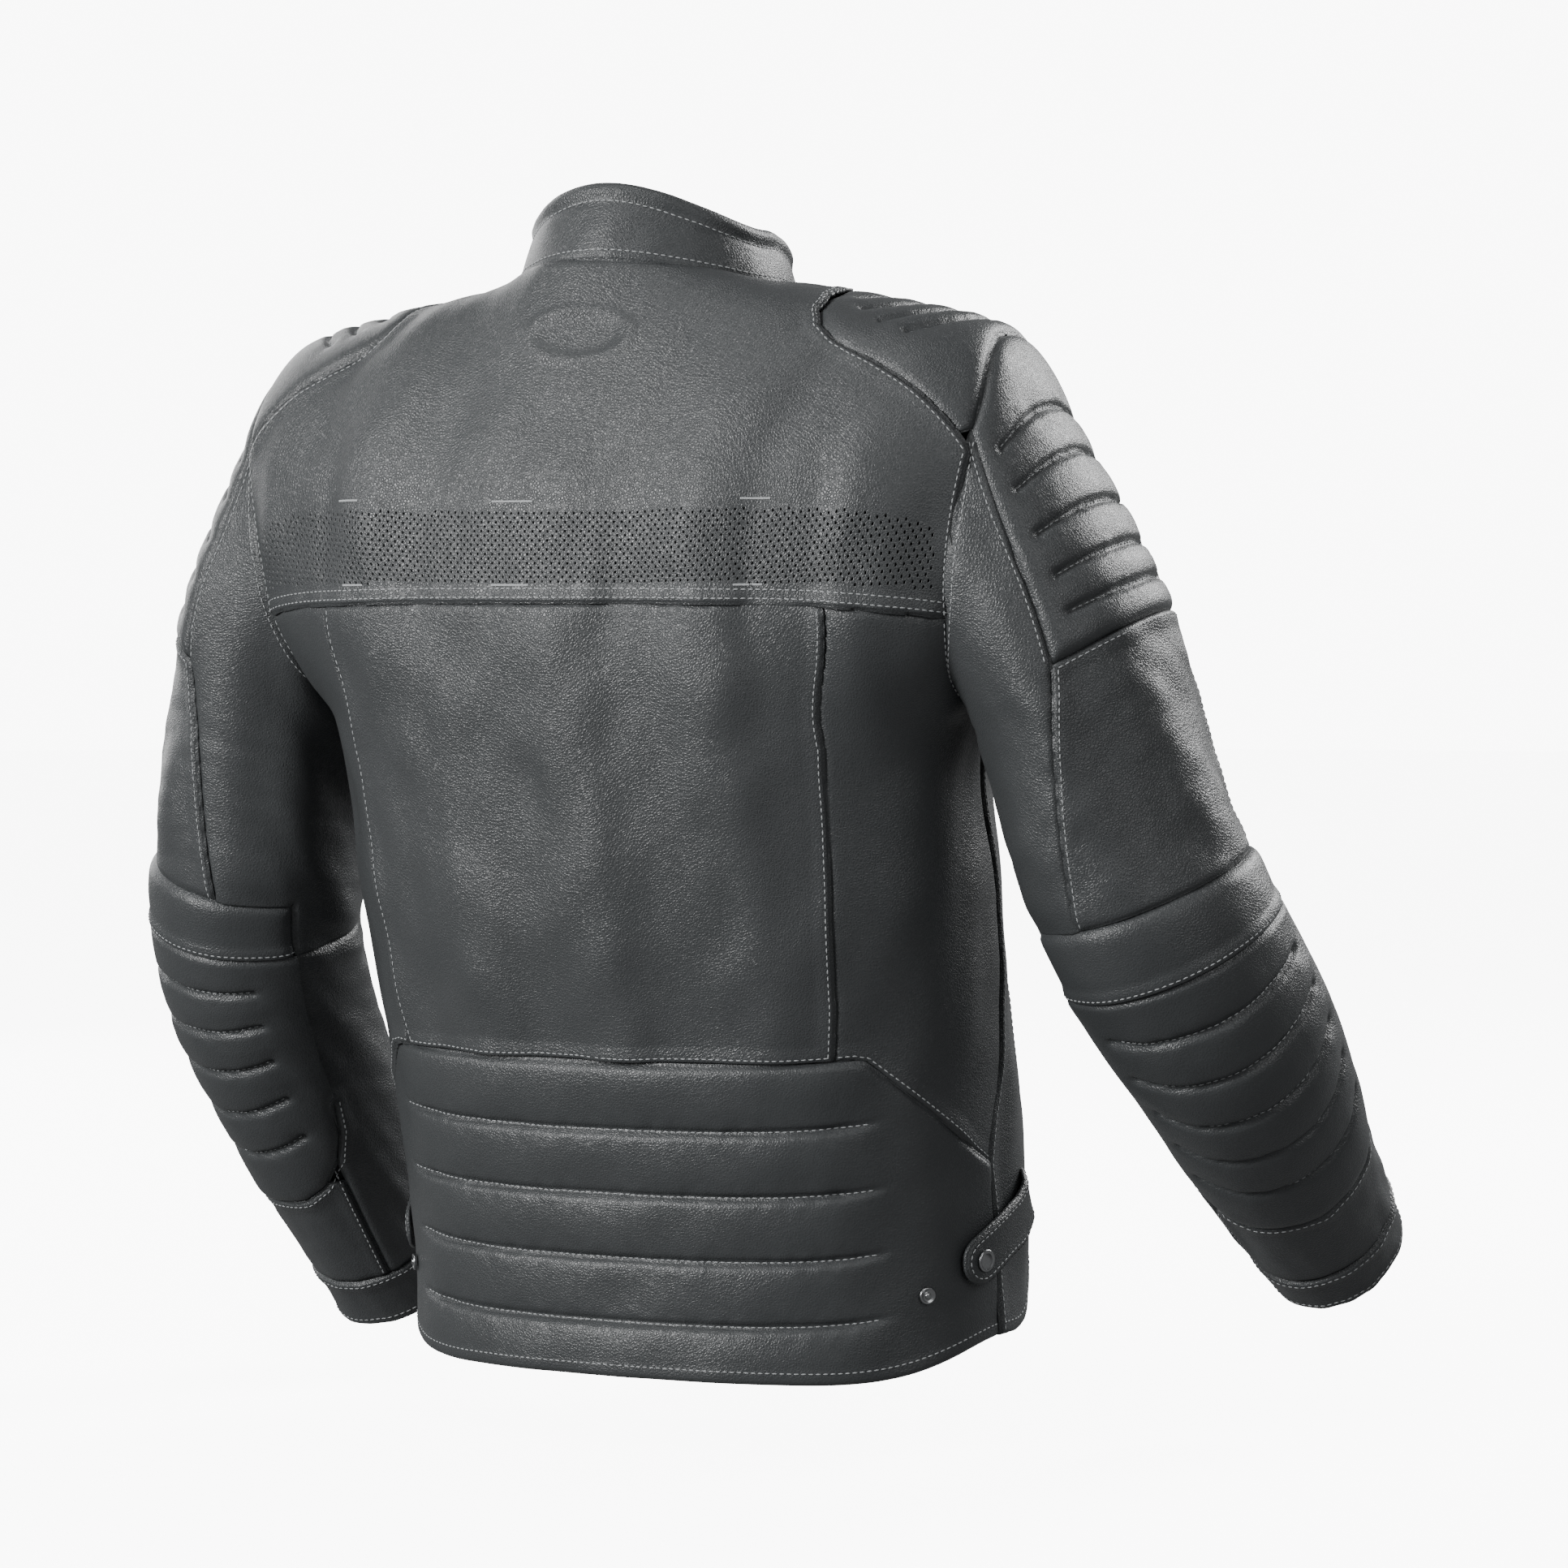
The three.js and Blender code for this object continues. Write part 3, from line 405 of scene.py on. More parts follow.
# %% Finishes
def new_finish(name, color, rough, metal=0.0):
    finish = bpy.data.materials.new(name)
    finish.use_nodes = True
    shader = finish.node_tree.nodes["Principled BSDF"]
    shader.inputs["Base Color"].default_value = (*color, 1)
    shader.inputs["Roughness"].default_value = rough
    shader.inputs["Metallic"].default_value = metal
    return finish, finish.node_tree, shader


def node(tree, kind, **values):
    made = tree.nodes.new(kind)
    for key, value in values.items():
        if key in made.inputs:
            made.inputs[key].default_value = value
        else:
            setattr(made, key, value)
    return made


def leather_finish(name, dark, light, rough=0.4, grain=0.5):
    finish, tree, shader = new_finish(name, dark, rough)
    place = node(tree, "ShaderNodeTexCoord").outputs["Object"]
    link = tree.links.new
    pebble = node(tree, "ShaderNodeTexVoronoi", feature="DISTANCE_TO_EDGE", Scale=620.0)
    fine = node(tree, "ShaderNodeTexNoise", Scale=1500.0, Detail=3.0)
    crease = node(tree, "ShaderNodeTexNoise", Scale=95.0, Detail=6.0, Roughness=0.62)
    patch = node(tree, "ShaderNodeTexNoise", Scale=14.0, Detail=4.0)
    warp = node(tree, "ShaderNodeTexNoise", Scale=220.0, Detail=2.0)
    shifted = node(tree, "ShaderNodeVectorMath", operation="MULTIPLY_ADD")
    shifted.inputs[1].default_value = (0.0012, 0.0012, 0.0012)
    link(place, warp.inputs["Vector"])
    link(warp.outputs["Color"], shifted.inputs[0])
    link(place, shifted.inputs[2])
    link(shifted.outputs[0], pebble.inputs["Vector"])
    for part in (fine, crease, patch):
        link(place, part.inputs["Vector"])
    cells = node(tree, "ShaderNodeMapRange")
    cells.inputs["From Max"].default_value = 0.28
    link(pebble.outputs["Distance"], cells.inputs["Value"])
    tint = node(tree, "ShaderNodeMix", data_type="RGBA")
    tint.inputs["A"].default_value = (*dark, 1)
    tint.inputs["B"].default_value = (*light, 1)
    link(patch.outputs["Fac"], tint.inputs["Factor"])
    link(tint.outputs["Result"], shader.inputs["Base Color"])
    gloss = node(tree, "ShaderNodeMapRange")
    gloss.inputs["To Min"].default_value = rough + 0.07
    gloss.inputs["To Max"].default_value = rough - 0.07
    link(cells.outputs["Result"], gloss.inputs["Value"])
    link(gloss.outputs["Result"], shader.inputs["Roughness"])
    first = node(tree, "ShaderNodeBump", Strength=grain, Distance=0.00026)
    second = node(tree, "ShaderNodeBump", Strength=0.4, Distance=0.0008)
    third = node(tree, "ShaderNodeBump", Strength=0.25, Distance=0.00010)
    link(crease.outputs["Fac"], second.inputs["Height"])
    link(second.outputs["Normal"], first.inputs["Normal"])
    link(cells.outputs["Result"], first.inputs["Height"])
    link(first.outputs["Normal"], third.inputs["Normal"])
    link(fine.outputs["Fac"], third.inputs["Height"])
    link(third.outputs["Normal"], shader.inputs["Normal"])
    shader.inputs["Specular IOR Level"].default_value = 0.42
    return finish


def plain_finish(name, color, rough, metal=0.0, scale=400.0, bump=0.0002, strength=0.3):
    finish, tree, shader = new_finish(name, color, rough, metal)
    place = node(tree, "ShaderNodeTexCoord").outputs["Object"]
    noise = node(tree, "ShaderNodeTexNoise", Scale=scale, Detail=4.0)
    tree.links.new(place, noise.inputs["Vector"])
    lump = node(tree, "ShaderNodeBump", Strength=strength, Distance=bump)
    tree.links.new(noise.outputs["Fac"], lump.inputs["Height"])
    tree.links.new(lump.outputs["Normal"], shader.inputs["Normal"])
    tint = node(tree, "ShaderNodeMix", data_type="RGBA")
    tint.inputs["A"].default_value = (*[c * 0.8 for c in color], 1)
    tint.inputs["B"].default_value = (*[min(1, c * 1.2) for c in color], 1)
    tree.links.new(noise.outputs["Fac"], tint.inputs["Factor"])
    tree.links.new(tint.outputs["Result"], shader.inputs["Base Color"])
    return finish


def woven_finish(name, color, rough, pitch):
    """A cloth of crossed threads."""
    finish, tree, shader = new_finish(name, color, rough)
    place = node(tree, "ShaderNodeTexCoord").outputs["Object"]
    total = None
    for kind, turn in (("X", 0.0), ("Z", 0.6)):
        thread = node(tree, "ShaderNodeTexWave", bands_direction=kind, Scale=1 / pitch / 3.2, Distortion=0.4)
        shift = node(tree, "ShaderNodeMapping")
        shift.inputs["Rotation"].default_value = (turn, turn, 0)
        tree.links.new(place, shift.inputs["Vector"])
        tree.links.new(shift.outputs["Vector"], thread.inputs["Vector"])
        if total is None:
            total = thread.outputs["Fac"]
        else:
            both = node(tree, "ShaderNodeMath", operation="MULTIPLY")
            tree.links.new(total, both.inputs[0])
            tree.links.new(thread.outputs["Fac"], both.inputs[1])
            total = both.outputs[0]
    lump = node(tree, "ShaderNodeBump", Strength=0.5, Distance=0.0003)
    tree.links.new(total, lump.inputs["Height"])
    tree.links.new(lump.outputs["Normal"], shader.inputs["Normal"])
    tint = node(tree, "ShaderNodeMix", data_type="RGBA")
    tint.inputs["A"].default_value = (*[c * 0.6 for c in color], 1)
    tint.inputs["B"].default_value = (*[c * 1.4 for c in color], 1)
    tree.links.new(total, tint.inputs["Factor"])
    tree.links.new(tint.outputs["Result"], shader.inputs["Base Color"])
    return finish


hide = leather_finish("satin_hide", (0.031, 0.0335, 0.035), (0.042, 0.0445, 0.046), grain=0.6)
ribbed_hide = leather_finish("ribbed_hide", (0.029, 0.0315, 0.033), (0.040, 0.0425, 0.044), grain=0.5)
edge_hide = leather_finish("collar_hide", (0.028, 0.0305, 0.032), (0.039, 0.0415, 0.043))
thread_finish = plain_finish("grey_thread", (0.30, 0.31, 0.315), 0.7, scale=2500.0)
lining_finish = woven_finish("mesh_lining", (0.014, 0.014, 0.015), 0.9, 0.0016)
tape_finish = woven_finish("zip_tape_weave", (0.012, 0.012, 0.013), 0.85, 0.0009)
gunmetal = plain_finish("gunmetal_plate", (0.30, 0.305, 0.31), 0.28, 1.0, scale=900.0, bump=0.00004)
dark_metal = plain_finish("blackened_metal", (0.07, 0.072, 0.075), 0.34, 1.0, scale=900.0, bump=0.00004)
foam_finish = plain_finish("protector_foam", (0.05, 0.053, 0.056), 0.9, scale=700.0, bump=0.0004)
print("finishes:", len(bpy.data.materials))

# %% [markdown]
# A panel starts as a flat grid, as leather starts as a flat hide. The faces outside the pattern outline
# are deleted, and the border is pulled to the outline in four close rings, so that the seam can dive
# sharply. A second layer gives it thickness. Only then is it laid over the form, each point lifted by a
# relief: the height of the leather there, with its seams, ribs and folds. Cutting first and bending
# last keeps every seam exactly on its line.

# %% Cutting a panel
RINGS = (3.6, 2.3, 1.2, 0.4, -0.7)


def ruler(form, values, other, along_angle):
    line = form(values, other) if along_angle else form(other, values)
    return np.concatenate([[0], np.cumsum(np.linalg.norm(np.diff(line, axis=0), axis=1))])


def nearest_on(points, loop):
    """Nearest point of a closed loop, and how far it is."""
    best = np.full(len(points), 1e9)
    place = np.zeros((len(points), 2))
    for a, b in zip(loop, np.roll(loop, -1, axis=0)):
        d = b - a
        f = np.clip((points - a) @ d / (d @ d + 1e-9), 0, 1)
        q = a + f[:, None] * d
        gap = np.linalg.norm(points - q, axis=1)
        closer = gap < best
        best = np.where(closer, gap, best)
        place[closer] = q[closer]
    return best, place


def tidy_border(bm):
    """Takes away faces that hang on by a corner, so that the border is one plain line."""
    for _ in range(6):
        loose = [v for v in bm.verts if sum(e.is_boundary for e in v.link_edges) > 2]
        spare = {min(v.link_faces, key=lambda f: sum(e.is_boundary for e in f.edges) * -1) for v in loose}
        spare |= {f for f in bm.faces if sum(e.is_boundary for e in f.edges) > 2}
        if not spare:
            return
        bmesh.ops.delete(bm, geom=list(spare), context="FACES")


def cut_panel(name, form, outline, relief, cell=3.0, holes=(), under=None, thickness=1.8, punch=None,
              finish=None, smooth=True):
    """A leather panel as one closed body. relief(u, v) is the height of its face in millimetres."""
    outline = np.array(thicken_line(list(outline) + [outline[0]]))[:-1]
    low, high = outline.min(0), outline.max(0)
    us, vs = np.linspace(low[0], high[0], 240), np.linspace(low[1], high[1], 240)
    su = ruler(form, us, (low[1] + high[1]) / 2, True)
    tv = ruler(form, vs, (low[0] + high[0]) / 2, False)

    def to_flat(line):
        line = np.asarray(line, float)
        return np.stack([np.interp(line[:, 0], us, su), np.interp(line[:, 1], vs, tv)], -1)
    loops = [to_flat(outline)] + [to_flat(thicken_line(list(h) + [h[0]]))[:-1] for h in holes]
    wide, tall = (cell, cell) if np.isscalar(cell) else cell
    across, up = max(2, round(su[-1] / wide)), max(2, round(tv[-1] / tall))
    bm = bmesh.new()
    bmesh.ops.create_grid(bm, x_segments=across, y_segments=up, size=0.5)
    flat = np.array([v.co[:2] for v in bm.verts])
    flat = (flat - flat.min(0)) / (flat.max(0) - flat.min(0)) * [su[-1], tv[-1]]
    good = inside_outline(flat[:, 0], flat[:, 1], loops[0])
    gap = nearest_on(flat, loops[0])[0]
    for loop in loops[1:]:
        good &= ~inside_outline(flat[:, 0], flat[:, 1], loop)
        gap = np.minimum(gap, nearest_on(flat, loop)[0])
    good &= gap > 1.9
    for v, (s, t) in zip(bm.verts, flat):
        v.co = (s, t, 0)
    bm.verts.index_update()
    bmesh.ops.delete(bm, geom=[f for f in bm.faces if not all(good[v.index] for v in f.verts)],
                     context="FACES")
    tidy_border(bm)
    border = [v for v in bm.verts if any(e.is_boundary for e in v.link_edges)]
    at = np.array([v.co[:2] for v in border])
    found = [nearest_on(at, loop) for loop in loops]
    pick = np.argmin([f[0] for f in found], axis=0)
    aim = np.array([found[p][1][i] for i, p in enumerate(pick)])
    for loop in loops:
        before, after = np.roll(loop, 1, axis=0) - loop, np.roll(loop, -1, axis=0) - loop
        lengths = np.linalg.norm(before, axis=1) * np.linalg.norm(after, axis=1)
        turn = (before * after).sum(1) / (lengths + 1e-9)
        for corner in loop[turn > -0.9]:
            k = np.argmin(np.linalg.norm(at - corner, axis=1))
            if np.linalg.norm(at[k] - corner) < 4 * max(wide, tall):
                aim[k] = corner
    away = at - aim
    away /= np.linalg.norm(away, axis=1, keepdims=True) + 1e-9
    reach = np.minimum(RINGS[0], np.maximum(np.linalg.norm(at - aim, axis=1), 2.0))
    goal = {}
    for v, q, w, r in zip(border, aim, away, reach):
        v.co = (*(q + w * r), 0)
        goal[v] = (q, w, r)
    edge_of = set(border)
    near = [v for v in bm.verts if v not in edge_of
            and any(o in edge_of or any(e.other_vert(o) in edge_of for e in o.link_edges)
                    for o in (e.other_vert(v) for e in v.link_edges))]
    for _ in range(4):
        bmesh.ops.smooth_vert(bm, verts=near, factor=0.5, use_axis_x=True, use_axis_y=True)
    rim = [e for e in bm.edges if e.is_boundary]
    for ring in RINGS[1:]:
        grown = bmesh.ops.extrude_edge_only(bm, edges=rim)["geom"]
        fresh = {}
        for v in (g for g in grown if isinstance(g, bmesh.types.BMVert)):
            old = next(e.other_vert(v) for e in v.link_edges if e.other_vert(v) in goal)
            q, w, r = goal[old]
            fresh[v] = (q, w, r)
            v.co = (*(q + w * r * ring / RINGS[0]), 0)
        goal = fresh
        rim = [g for g in grown if isinstance(g, bmesh.types.BMEdge)]
    if punch:
        centre = np.array([f.calc_center_median()[:2] for f in bm.faces])
        cu, cv = np.interp(centre[:, 0], su, us), np.interp(centre[:, 1], tv, vs)
        odd = (np.floor(centre[:, 0] / su[-1] * across) + np.floor(centre[:, 1] / tv[-1] * up)) % 2 == 0
        chosen = odd & punch(cu, cv)
        targets = [f for f, c in zip(bm.faces, chosen) if c and len(f.verts) == 4]
        bmesh.ops.inset_individual(bm, faces=targets, thickness=0.56, depth=0, use_even_offset=True)
        corners = list({v for f in targets for v in f.verts})
        bmesh.ops.bevel(bm, geom=corners, offset=0.34, segments=1, profile=0.5, affect="VERTICES",
                        material=-1)
        bmesh.ops.delete(bm, geom=[f for f in bm.faces if len(f.verts) == 8], context="FACES")
    bmesh.ops.recalc_face_normals(bm, faces=bm.faces)
    if sum(f.normal.z for f in bm.faces) < 0:
        bmesh.ops.reverse_faces(bm, faces=bm.faces)
    top = set(bm.verts)
    bmesh.ops.solidify(bm, geom=list(bm.faces), thickness=1.0)
    bm.verts.index_update()
    mesh = bpy.data.meshes.new(name)
    bm.to_mesh(mesh)
    bm.free()
    place = np.empty(len(mesh.vertices) * 3)
    mesh.vertices.foreach_get("co", place)
    place = place.reshape(-1, 3)
    upper = np.abs(place[:, 2]) < 0.5
    u, v = np.interp(place[:, 0], su, us), np.interp(place[:, 1], tv, vs)
    h = relief(u, v)
    floor = h - thickness if under is None else np.minimum(under, h - 0.8)
    place = laid(form, u, v, np.where(upper, h, floor))
    mesh.vertices.foreach_set("co", place.ravel())
    piece = bpy.data.objects.new(name, mesh)
    bpy.context.scene.collection.objects.link(piece)
    face_out(mesh)
    if smooth:
        mesh.shade_smooth()
    if finish:
        mesh.materials.append(finish)
    return piece


def volume(mesh):
    mesh.calc_loop_triangles()
    at = np.empty(len(mesh.vertices) * 3)
    mesh.vertices.foreach_get("co", at)
    tri = np.empty(len(mesh.loop_triangles) * 3, int)
    mesh.loop_triangles.foreach_get("vertices", tri)
    a, b, c = at.reshape(-1, 3)[tri.reshape(-1, 3)].transpose(1, 0, 2)
    return float((np.cross(a, b) * c).sum() / 6)


def face_out(mesh):
    """A closed body whose volume comes out negative is inside out."""
    if volume(mesh) < 0:
        mesh.flip_normals()


def flat_area(mesh):
    return sum(p.area for p in mesh.polygons) / 2


print("a panel has", len(RINGS), "rings along its seam")

# %% [markdown]
# Leather bends in a small number of ways where it is sewn. The upper leather at a lapped seam is turned
# under and stands up as a welt, while the lower one dives beneath it. A hem is rolled. A quilted channel
# is pulled down hard by its thread and the wadding puffs on both sides. Each is a short curve of height
# against distance from the line, so one helper can add up all the lines of a panel.

# %% Seam, hem and channel curves
def over_seam(d):
    return 1.1 * ease(0.0, 1.4, d) * (1 - ease(4.5, 9.5, d)) - 1.3 * (1 - ease(0, 1.1, d))


def under_seam(d):
    return -1.7 * (1 - ease(0.2, 3.0, d))


def creased(d):
    return -1.6 * (1 - ease(0.0, 2.6, d)) - 0.25 * np.exp(-d / 5)


def rolled(d):
    return 0.5 * ease(0, 1.6, d) * (1 - ease(4, 10, d)) - 1.0 * (1 - ease(0, 1.7, d))


def wadded(d):
    return -5.0 * np.exp(-d / 2.6)


def in_space(form, line):
    line = thicken_line(line)
    return form(line[:, 0], line[:, 1])


def relief_of(form, edges, base=2.2, extra=None, floor=0.55):
    """Height of a panel's face: its base, its edges and anything extra, never below the lining."""
    lines = [(in_space(form, line), curve) for line, curve in edges]

    def relief(u, v):
        p = form(u, v)
        rise, dip = np.zeros(len(p)), np.zeros(len(p))
        for line, curve in lines:
            h = curve(distance_to(p, line)[0])
            rise, dip = np.maximum(rise, h), np.minimum(dip, h)
        h = base + rise + dip
        if extra is not None:
            h = h + extra(p, u, v)
        return floor + 0.7 * np.logaddexp(0, (h - floor) / 0.7) if base > 0 else h
    return relief


def body_folds(p, u, v):
    """Slow unevenness of the back, and drag lines that run to the armpits."""
    slow = 1.2 + 2.9 * waves(p * [1.2, 1, 0.42], 3, 88) + 0.75 * waves(p * [1, 1, 0.6], 4, 30)
    pit = np.minimum(np.linalg.norm(p - PITS[0], axis=1), np.linalg.norm(p - PITS[1], axis=1))
    drag = 3.0 * np.exp(-pit / 80) * waves(p * [1, 0.3, 0.4], 5, 30)
    return slow + drag


PITS = [body_form(92, 0.645), body_form(-92, 0.645)]
print("armpits at", np.round(PITS, 0).tolist())

# %% [markdown]
# Stitches are what the eye looks for on leather. Each is a short fat thread end sunk at both ends, so a
# stretched low sphere is enough. A row follows a pattern line at a fixed distance, and sits on the
# panel's own relief. All the stitches that move together become one piece.

# %% Stitch rows
PITCH = 4.1
rows_of_thread = {}
skins = {}


def metric_step(form, u, v, move):
    """Angle and level steps that make a small move along the surface."""
    pu, pv, _ = slopes(form, u, v)
    uu, uv, vv = (pu * pu).sum(-1), (pu * pv).sum(-1), (pv * pv).sum(-1)
    mu, mv = (move * pu).sum(-1), (move * pv).sum(-1)
    det = uu * vv - uv * uv
    return (mu * vv - mv * uv) / det, (mv * uu - mu * uv) / det


def beside(form, line, offset, outline):
    """The line moved inside the outline by an offset in millimetres."""
    line = thicken_line(line)
    u, v = line[:, 0], line[:, 1]
    p = form(u, v)
    along = np.gradient(p, axis=0)
    along /= np.linalg.norm(along, axis=1, keepdims=True) + 1e-9
    sideways = np.cross(slopes(form, u, v)[2], along)
    best = None
    for sign in (1, -1):
        du, dv = metric_step(form, u, v, sideways * offset * sign)
        moved = np.stack([u + du, v + dv], -1)
        score = inside_outline(moved[:, 0], moved[:, 1], np.asarray(outline, float)).sum()
        if best is None or score > best[0]:
            best = (score, moved)
    return best[1]


def landed(form, u, v, panel):
    """Where pattern points come down on a finished panel, in millimetres."""
    if panel.name not in skins:
        mesh = panel.data
        skins[panel.name] = BVHTree.FromPolygons([p.co[:] for p in mesh.vertices],
                                                 [p.vertices[:] for p in mesh.polygons])
    out = slopes(form, u, v)[2]
    start = laid(form, u, v, np.full(len(u), 16.0))
    fallback = laid(form, u, v, np.full(len(u), 2.2))
    found = [skins[panel.name].ray_cast(Vector(a), Vector(-b), 0.03)[0] for a, b in zip(start, out)]
    return np.array([f if hit is None else hit for f, hit in zip(fallback, found)]) * 1000, out


def stitch(group, form, line, panel, pitch=PITCH, trim=2.0, size=(3.0, 0.8, 0.62)):
    """Stitches along a pattern line: their places and directions join a group."""
    line = thicken_line(line)
    p = landed(form, line[:, 0], line[:, 1], panel)[0]
    run = np.concatenate([[0], np.cumsum(np.linalg.norm(np.diff(p, axis=0), axis=1))])
    count = int((run[-1] - 2 * trim) / pitch)
    if count < 1:
        return
    at = trim + (np.arange(count) + 0.5) * (run[-1] - 2 * trim) / count
    u, v = np.interp(at, run, line[:, 0]), np.interp(at, run, line[:, 1])
    here, out = landed(form, u, v, panel)
    here = here + 0.14 * out
    ahead = np.gradient(here, axis=0) if count > 1 else p[-1:] - p[:1]
    rows_of_thread.setdefault(group, []).append((here, ahead, out, np.tile(size, (count, 1))))


def template(make):
    bm = bmesh.new()
    make(bm)
    bmesh.ops.recalc_face_normals(bm, faces=bm.faces)
    mesh = bpy.data.meshes.new("template")
    bm.to_mesh(mesh)
    bm.free()
    at = np.array([v.co for v in mesh.vertices])
    faces = [list(p.vertices) for p in mesh.polygons]
    bpy.data.meshes.remove(mesh)
    return at, faces


def gathered(name, shape, places, finish, smooth=True):
    """Many copies of one small shape as one piece. places: position, along, out and size of each."""
    at, faces = shape
    here, ahead, out, size = (np.concatenate([p[k] for p in places]) for k in range(4))
    x = ahead / np.linalg.norm(ahead, axis=1, keepdims=True)
    y = np.cross(out, x)
    y /= np.linalg.norm(y, axis=1, keepdims=True)
    z = np.cross(x, y)
    moved = (here[:, None] + (at[None, :, 0:1] * size[:, None, 0:1]) * x[:, None]
             + (at[None, :, 1:2] * size[:, None, 1:2]) * y[:, None]
             + (at[None, :, 2:3] * size[:, None, 2:3]) * z[:, None]) / 1000
    mesh = bpy.data.meshes.new(name)
    count = len(at)
    mesh.from_pydata(moved.reshape(-1, 3).tolist(), [],
                     [[i + k * count for i in f] for k in range(len(here)) for f in faces])
    if smooth:
        mesh.shade_smooth()
    mesh.materials.append(finish)
    piece = bpy.data.objects.new(name, mesh)
    bpy.context.scene.collection.objects.link(piece)
    face_out(mesh)
    return piece


thread_end = template(lambda bm: bmesh.ops.create_uvsphere(bm, u_segments=6, v_segments=4, radius=0.5,
                                                           matrix=Matrix.Rotation(math.pi / 2, 4, "Y")))
print("one stitch has", len(thread_end[1]), "faces")

# %% [markdown]
# The back is four leathers: a yoke across the shoulders, a centre panel, and one panel down each side.
# The yoke laps over the panels under it with a double row of stitches, and a band of it is punched with
# fine ventilation holes. They are real holes, made by insetting every other face of the grid.

# %% Pattern lines of the back
SEAM_LEVELS = (0.312, 0.36, 0.42, 0.48, 0.54, 0.60, 0.66, 0.72)
SEAM_ANGLES = (42.5, 44.5, 45.7, 46.7, 47.5, 46.5, 42.0, 36.5)
LUMBAR_CORNER, SIDE_LOW = (47.0, 0.312), (85.0, 0.19)
PAD_RIDGE, PAD_FRONT = (90, 0.967), (122, 0.957)
PAD_TURN, FRONT_TURN, HEM_TURN = 67, 48, 119


def arm_arc(start, end, steps=24):
    turn = np.linspace(start, end, steps + 1)
    return [tuple(float(x) for x in armhole(t)) for t in turn]


hem_corner = arm_arc(HEM_TURN, HEM_TURN, 0)[0]


def hem_line(angle):
    return 0.722 + (hem_corner[1] - 0.722) * (abs(angle) / hem_corner[0]) ** 2


def other_side(line):
    return [(-u, v) for u, v in line][::-1]


def at_front(line):
    return [(360 - u, v) for u, v in line][::-1]


back_arm = arm_arc(PAD_TURN, HEM_TURN)
yoke_hem = [(float(a), hem_line(a)) for a in np.linspace(hem_corner[0], -hem_corner[0], 25)]
neck = [(float(a), 1.0) for a in np.linspace(-90, 90, 25)]
ridge = [PAD_RIDGE, (82, 0.965), (74.5, 0.96), (62, 0.95), (52, 0.936), (47.6, 0.922), (46.6, 0.908),
         (48, 0.893), (51, 0.875), (57, 0.843), back_arm[0]]
yoke_outline = ridge + back_arm[1:] + yoke_hem[1:-1] + other_side(back_arm) + other_side(ridge)[1:] + neck


def band_top(u):
    return 0.807 - 0.045 * (np.asarray(u) / 60.0) ** 2


print("yoke outline:", len(yoke_outline), "points")

# %% The yoke with its ventilation holes
def mark_relief(p, u, v):
    """A plain raised oval with a sunk middle below the collar, where a maker would press a mark."""
    c = body_form(0.0, 0.937)
    away = np.hypot((p[:, 0] - c[0]) / 33, (p[:, 2] - c[2]) / 14) + 40.0 * (p[:, 1] < c[1] - 30)
    return 1.2 * np.exp(-(((away - 1.0) / 0.13) ** 2)) - 0.9 * (1 - ease(0.62, 0.8, away))


def gathers(p, u, v):
    """Small upright puckers where the punched band is eased on to the hem."""
    above = v - np.vectorize(hem_line)(u)
    return 0.75 * np.exp(-np.clip(above, 0, 1) / 0.03) * waves(p * [1, 0.3, 0.12], 12, 17)


ARM_EDGE = in_space(body_form, arm_arc(PAD_TURN - 10, HEM_TURN))
BAND_MARGIN, ARM_MARGIN = 0.017, 9.0


def punched(u, v):
    p = body_form(np.abs(u), v)
    clear = distance_to(p, ARM_EDGE)[0] > ARM_MARGIN
    return (v < band_top(u)) & (v > np.vectorize(hem_line)(u) + BAND_MARGIN) & clear & (np.abs(u) < 70)


yoke_edges = [(yoke_hem, over_seam), (ridge, over_seam), (other_side(ridge), over_seam),
              (back_arm, creased), (other_side(back_arm), creased), (neck, creased)]
yoke_relief = relief_of(body_form, yoke_edges, 2.4,
                        lambda p, u, v: body_folds(p, u, v) + mark_relief(p, u, v) + gathers(p, u, v))
back_yoke = cut_panel("back_yoke_leather", body_form, yoke_outline, yoke_relief, cell=(2.25, 2.5),
                      punch=punched, finish=hide)
for line, offset in ((yoke_hem, 3.0), (yoke_hem, 8.0), (ridge[2:], 3.0), (other_side(ridge[2:]), 3.0),
                     (back_arm, 3.4), (other_side(back_arm), 3.4)):
    stitch("jacket_body", body_form, beside(body_form, line, offset, yoke_outline), back_yoke)
TACK = dict(pitch=0.75, trim=0, size=(1.3, 1.5, 0.4))
for angle in (-28.0, -3.5, 24.0):
    for border, lift in ((band_top, 0.008), (hem_line, 0.016)):
        tack = [(angle + turn, float(border(angle + turn)) + lift) for turn in (-2.1, 0.0, 2.1)]
        stitch("jacket_body", body_form, tack, back_yoke, **TACK)
print("yoke faces:", len(back_yoke.data.polygons))

# %% The centre and side panels
def seam_angle(level):
    return float(np.interp(level, SEAM_LEVELS, SEAM_ANGLES))


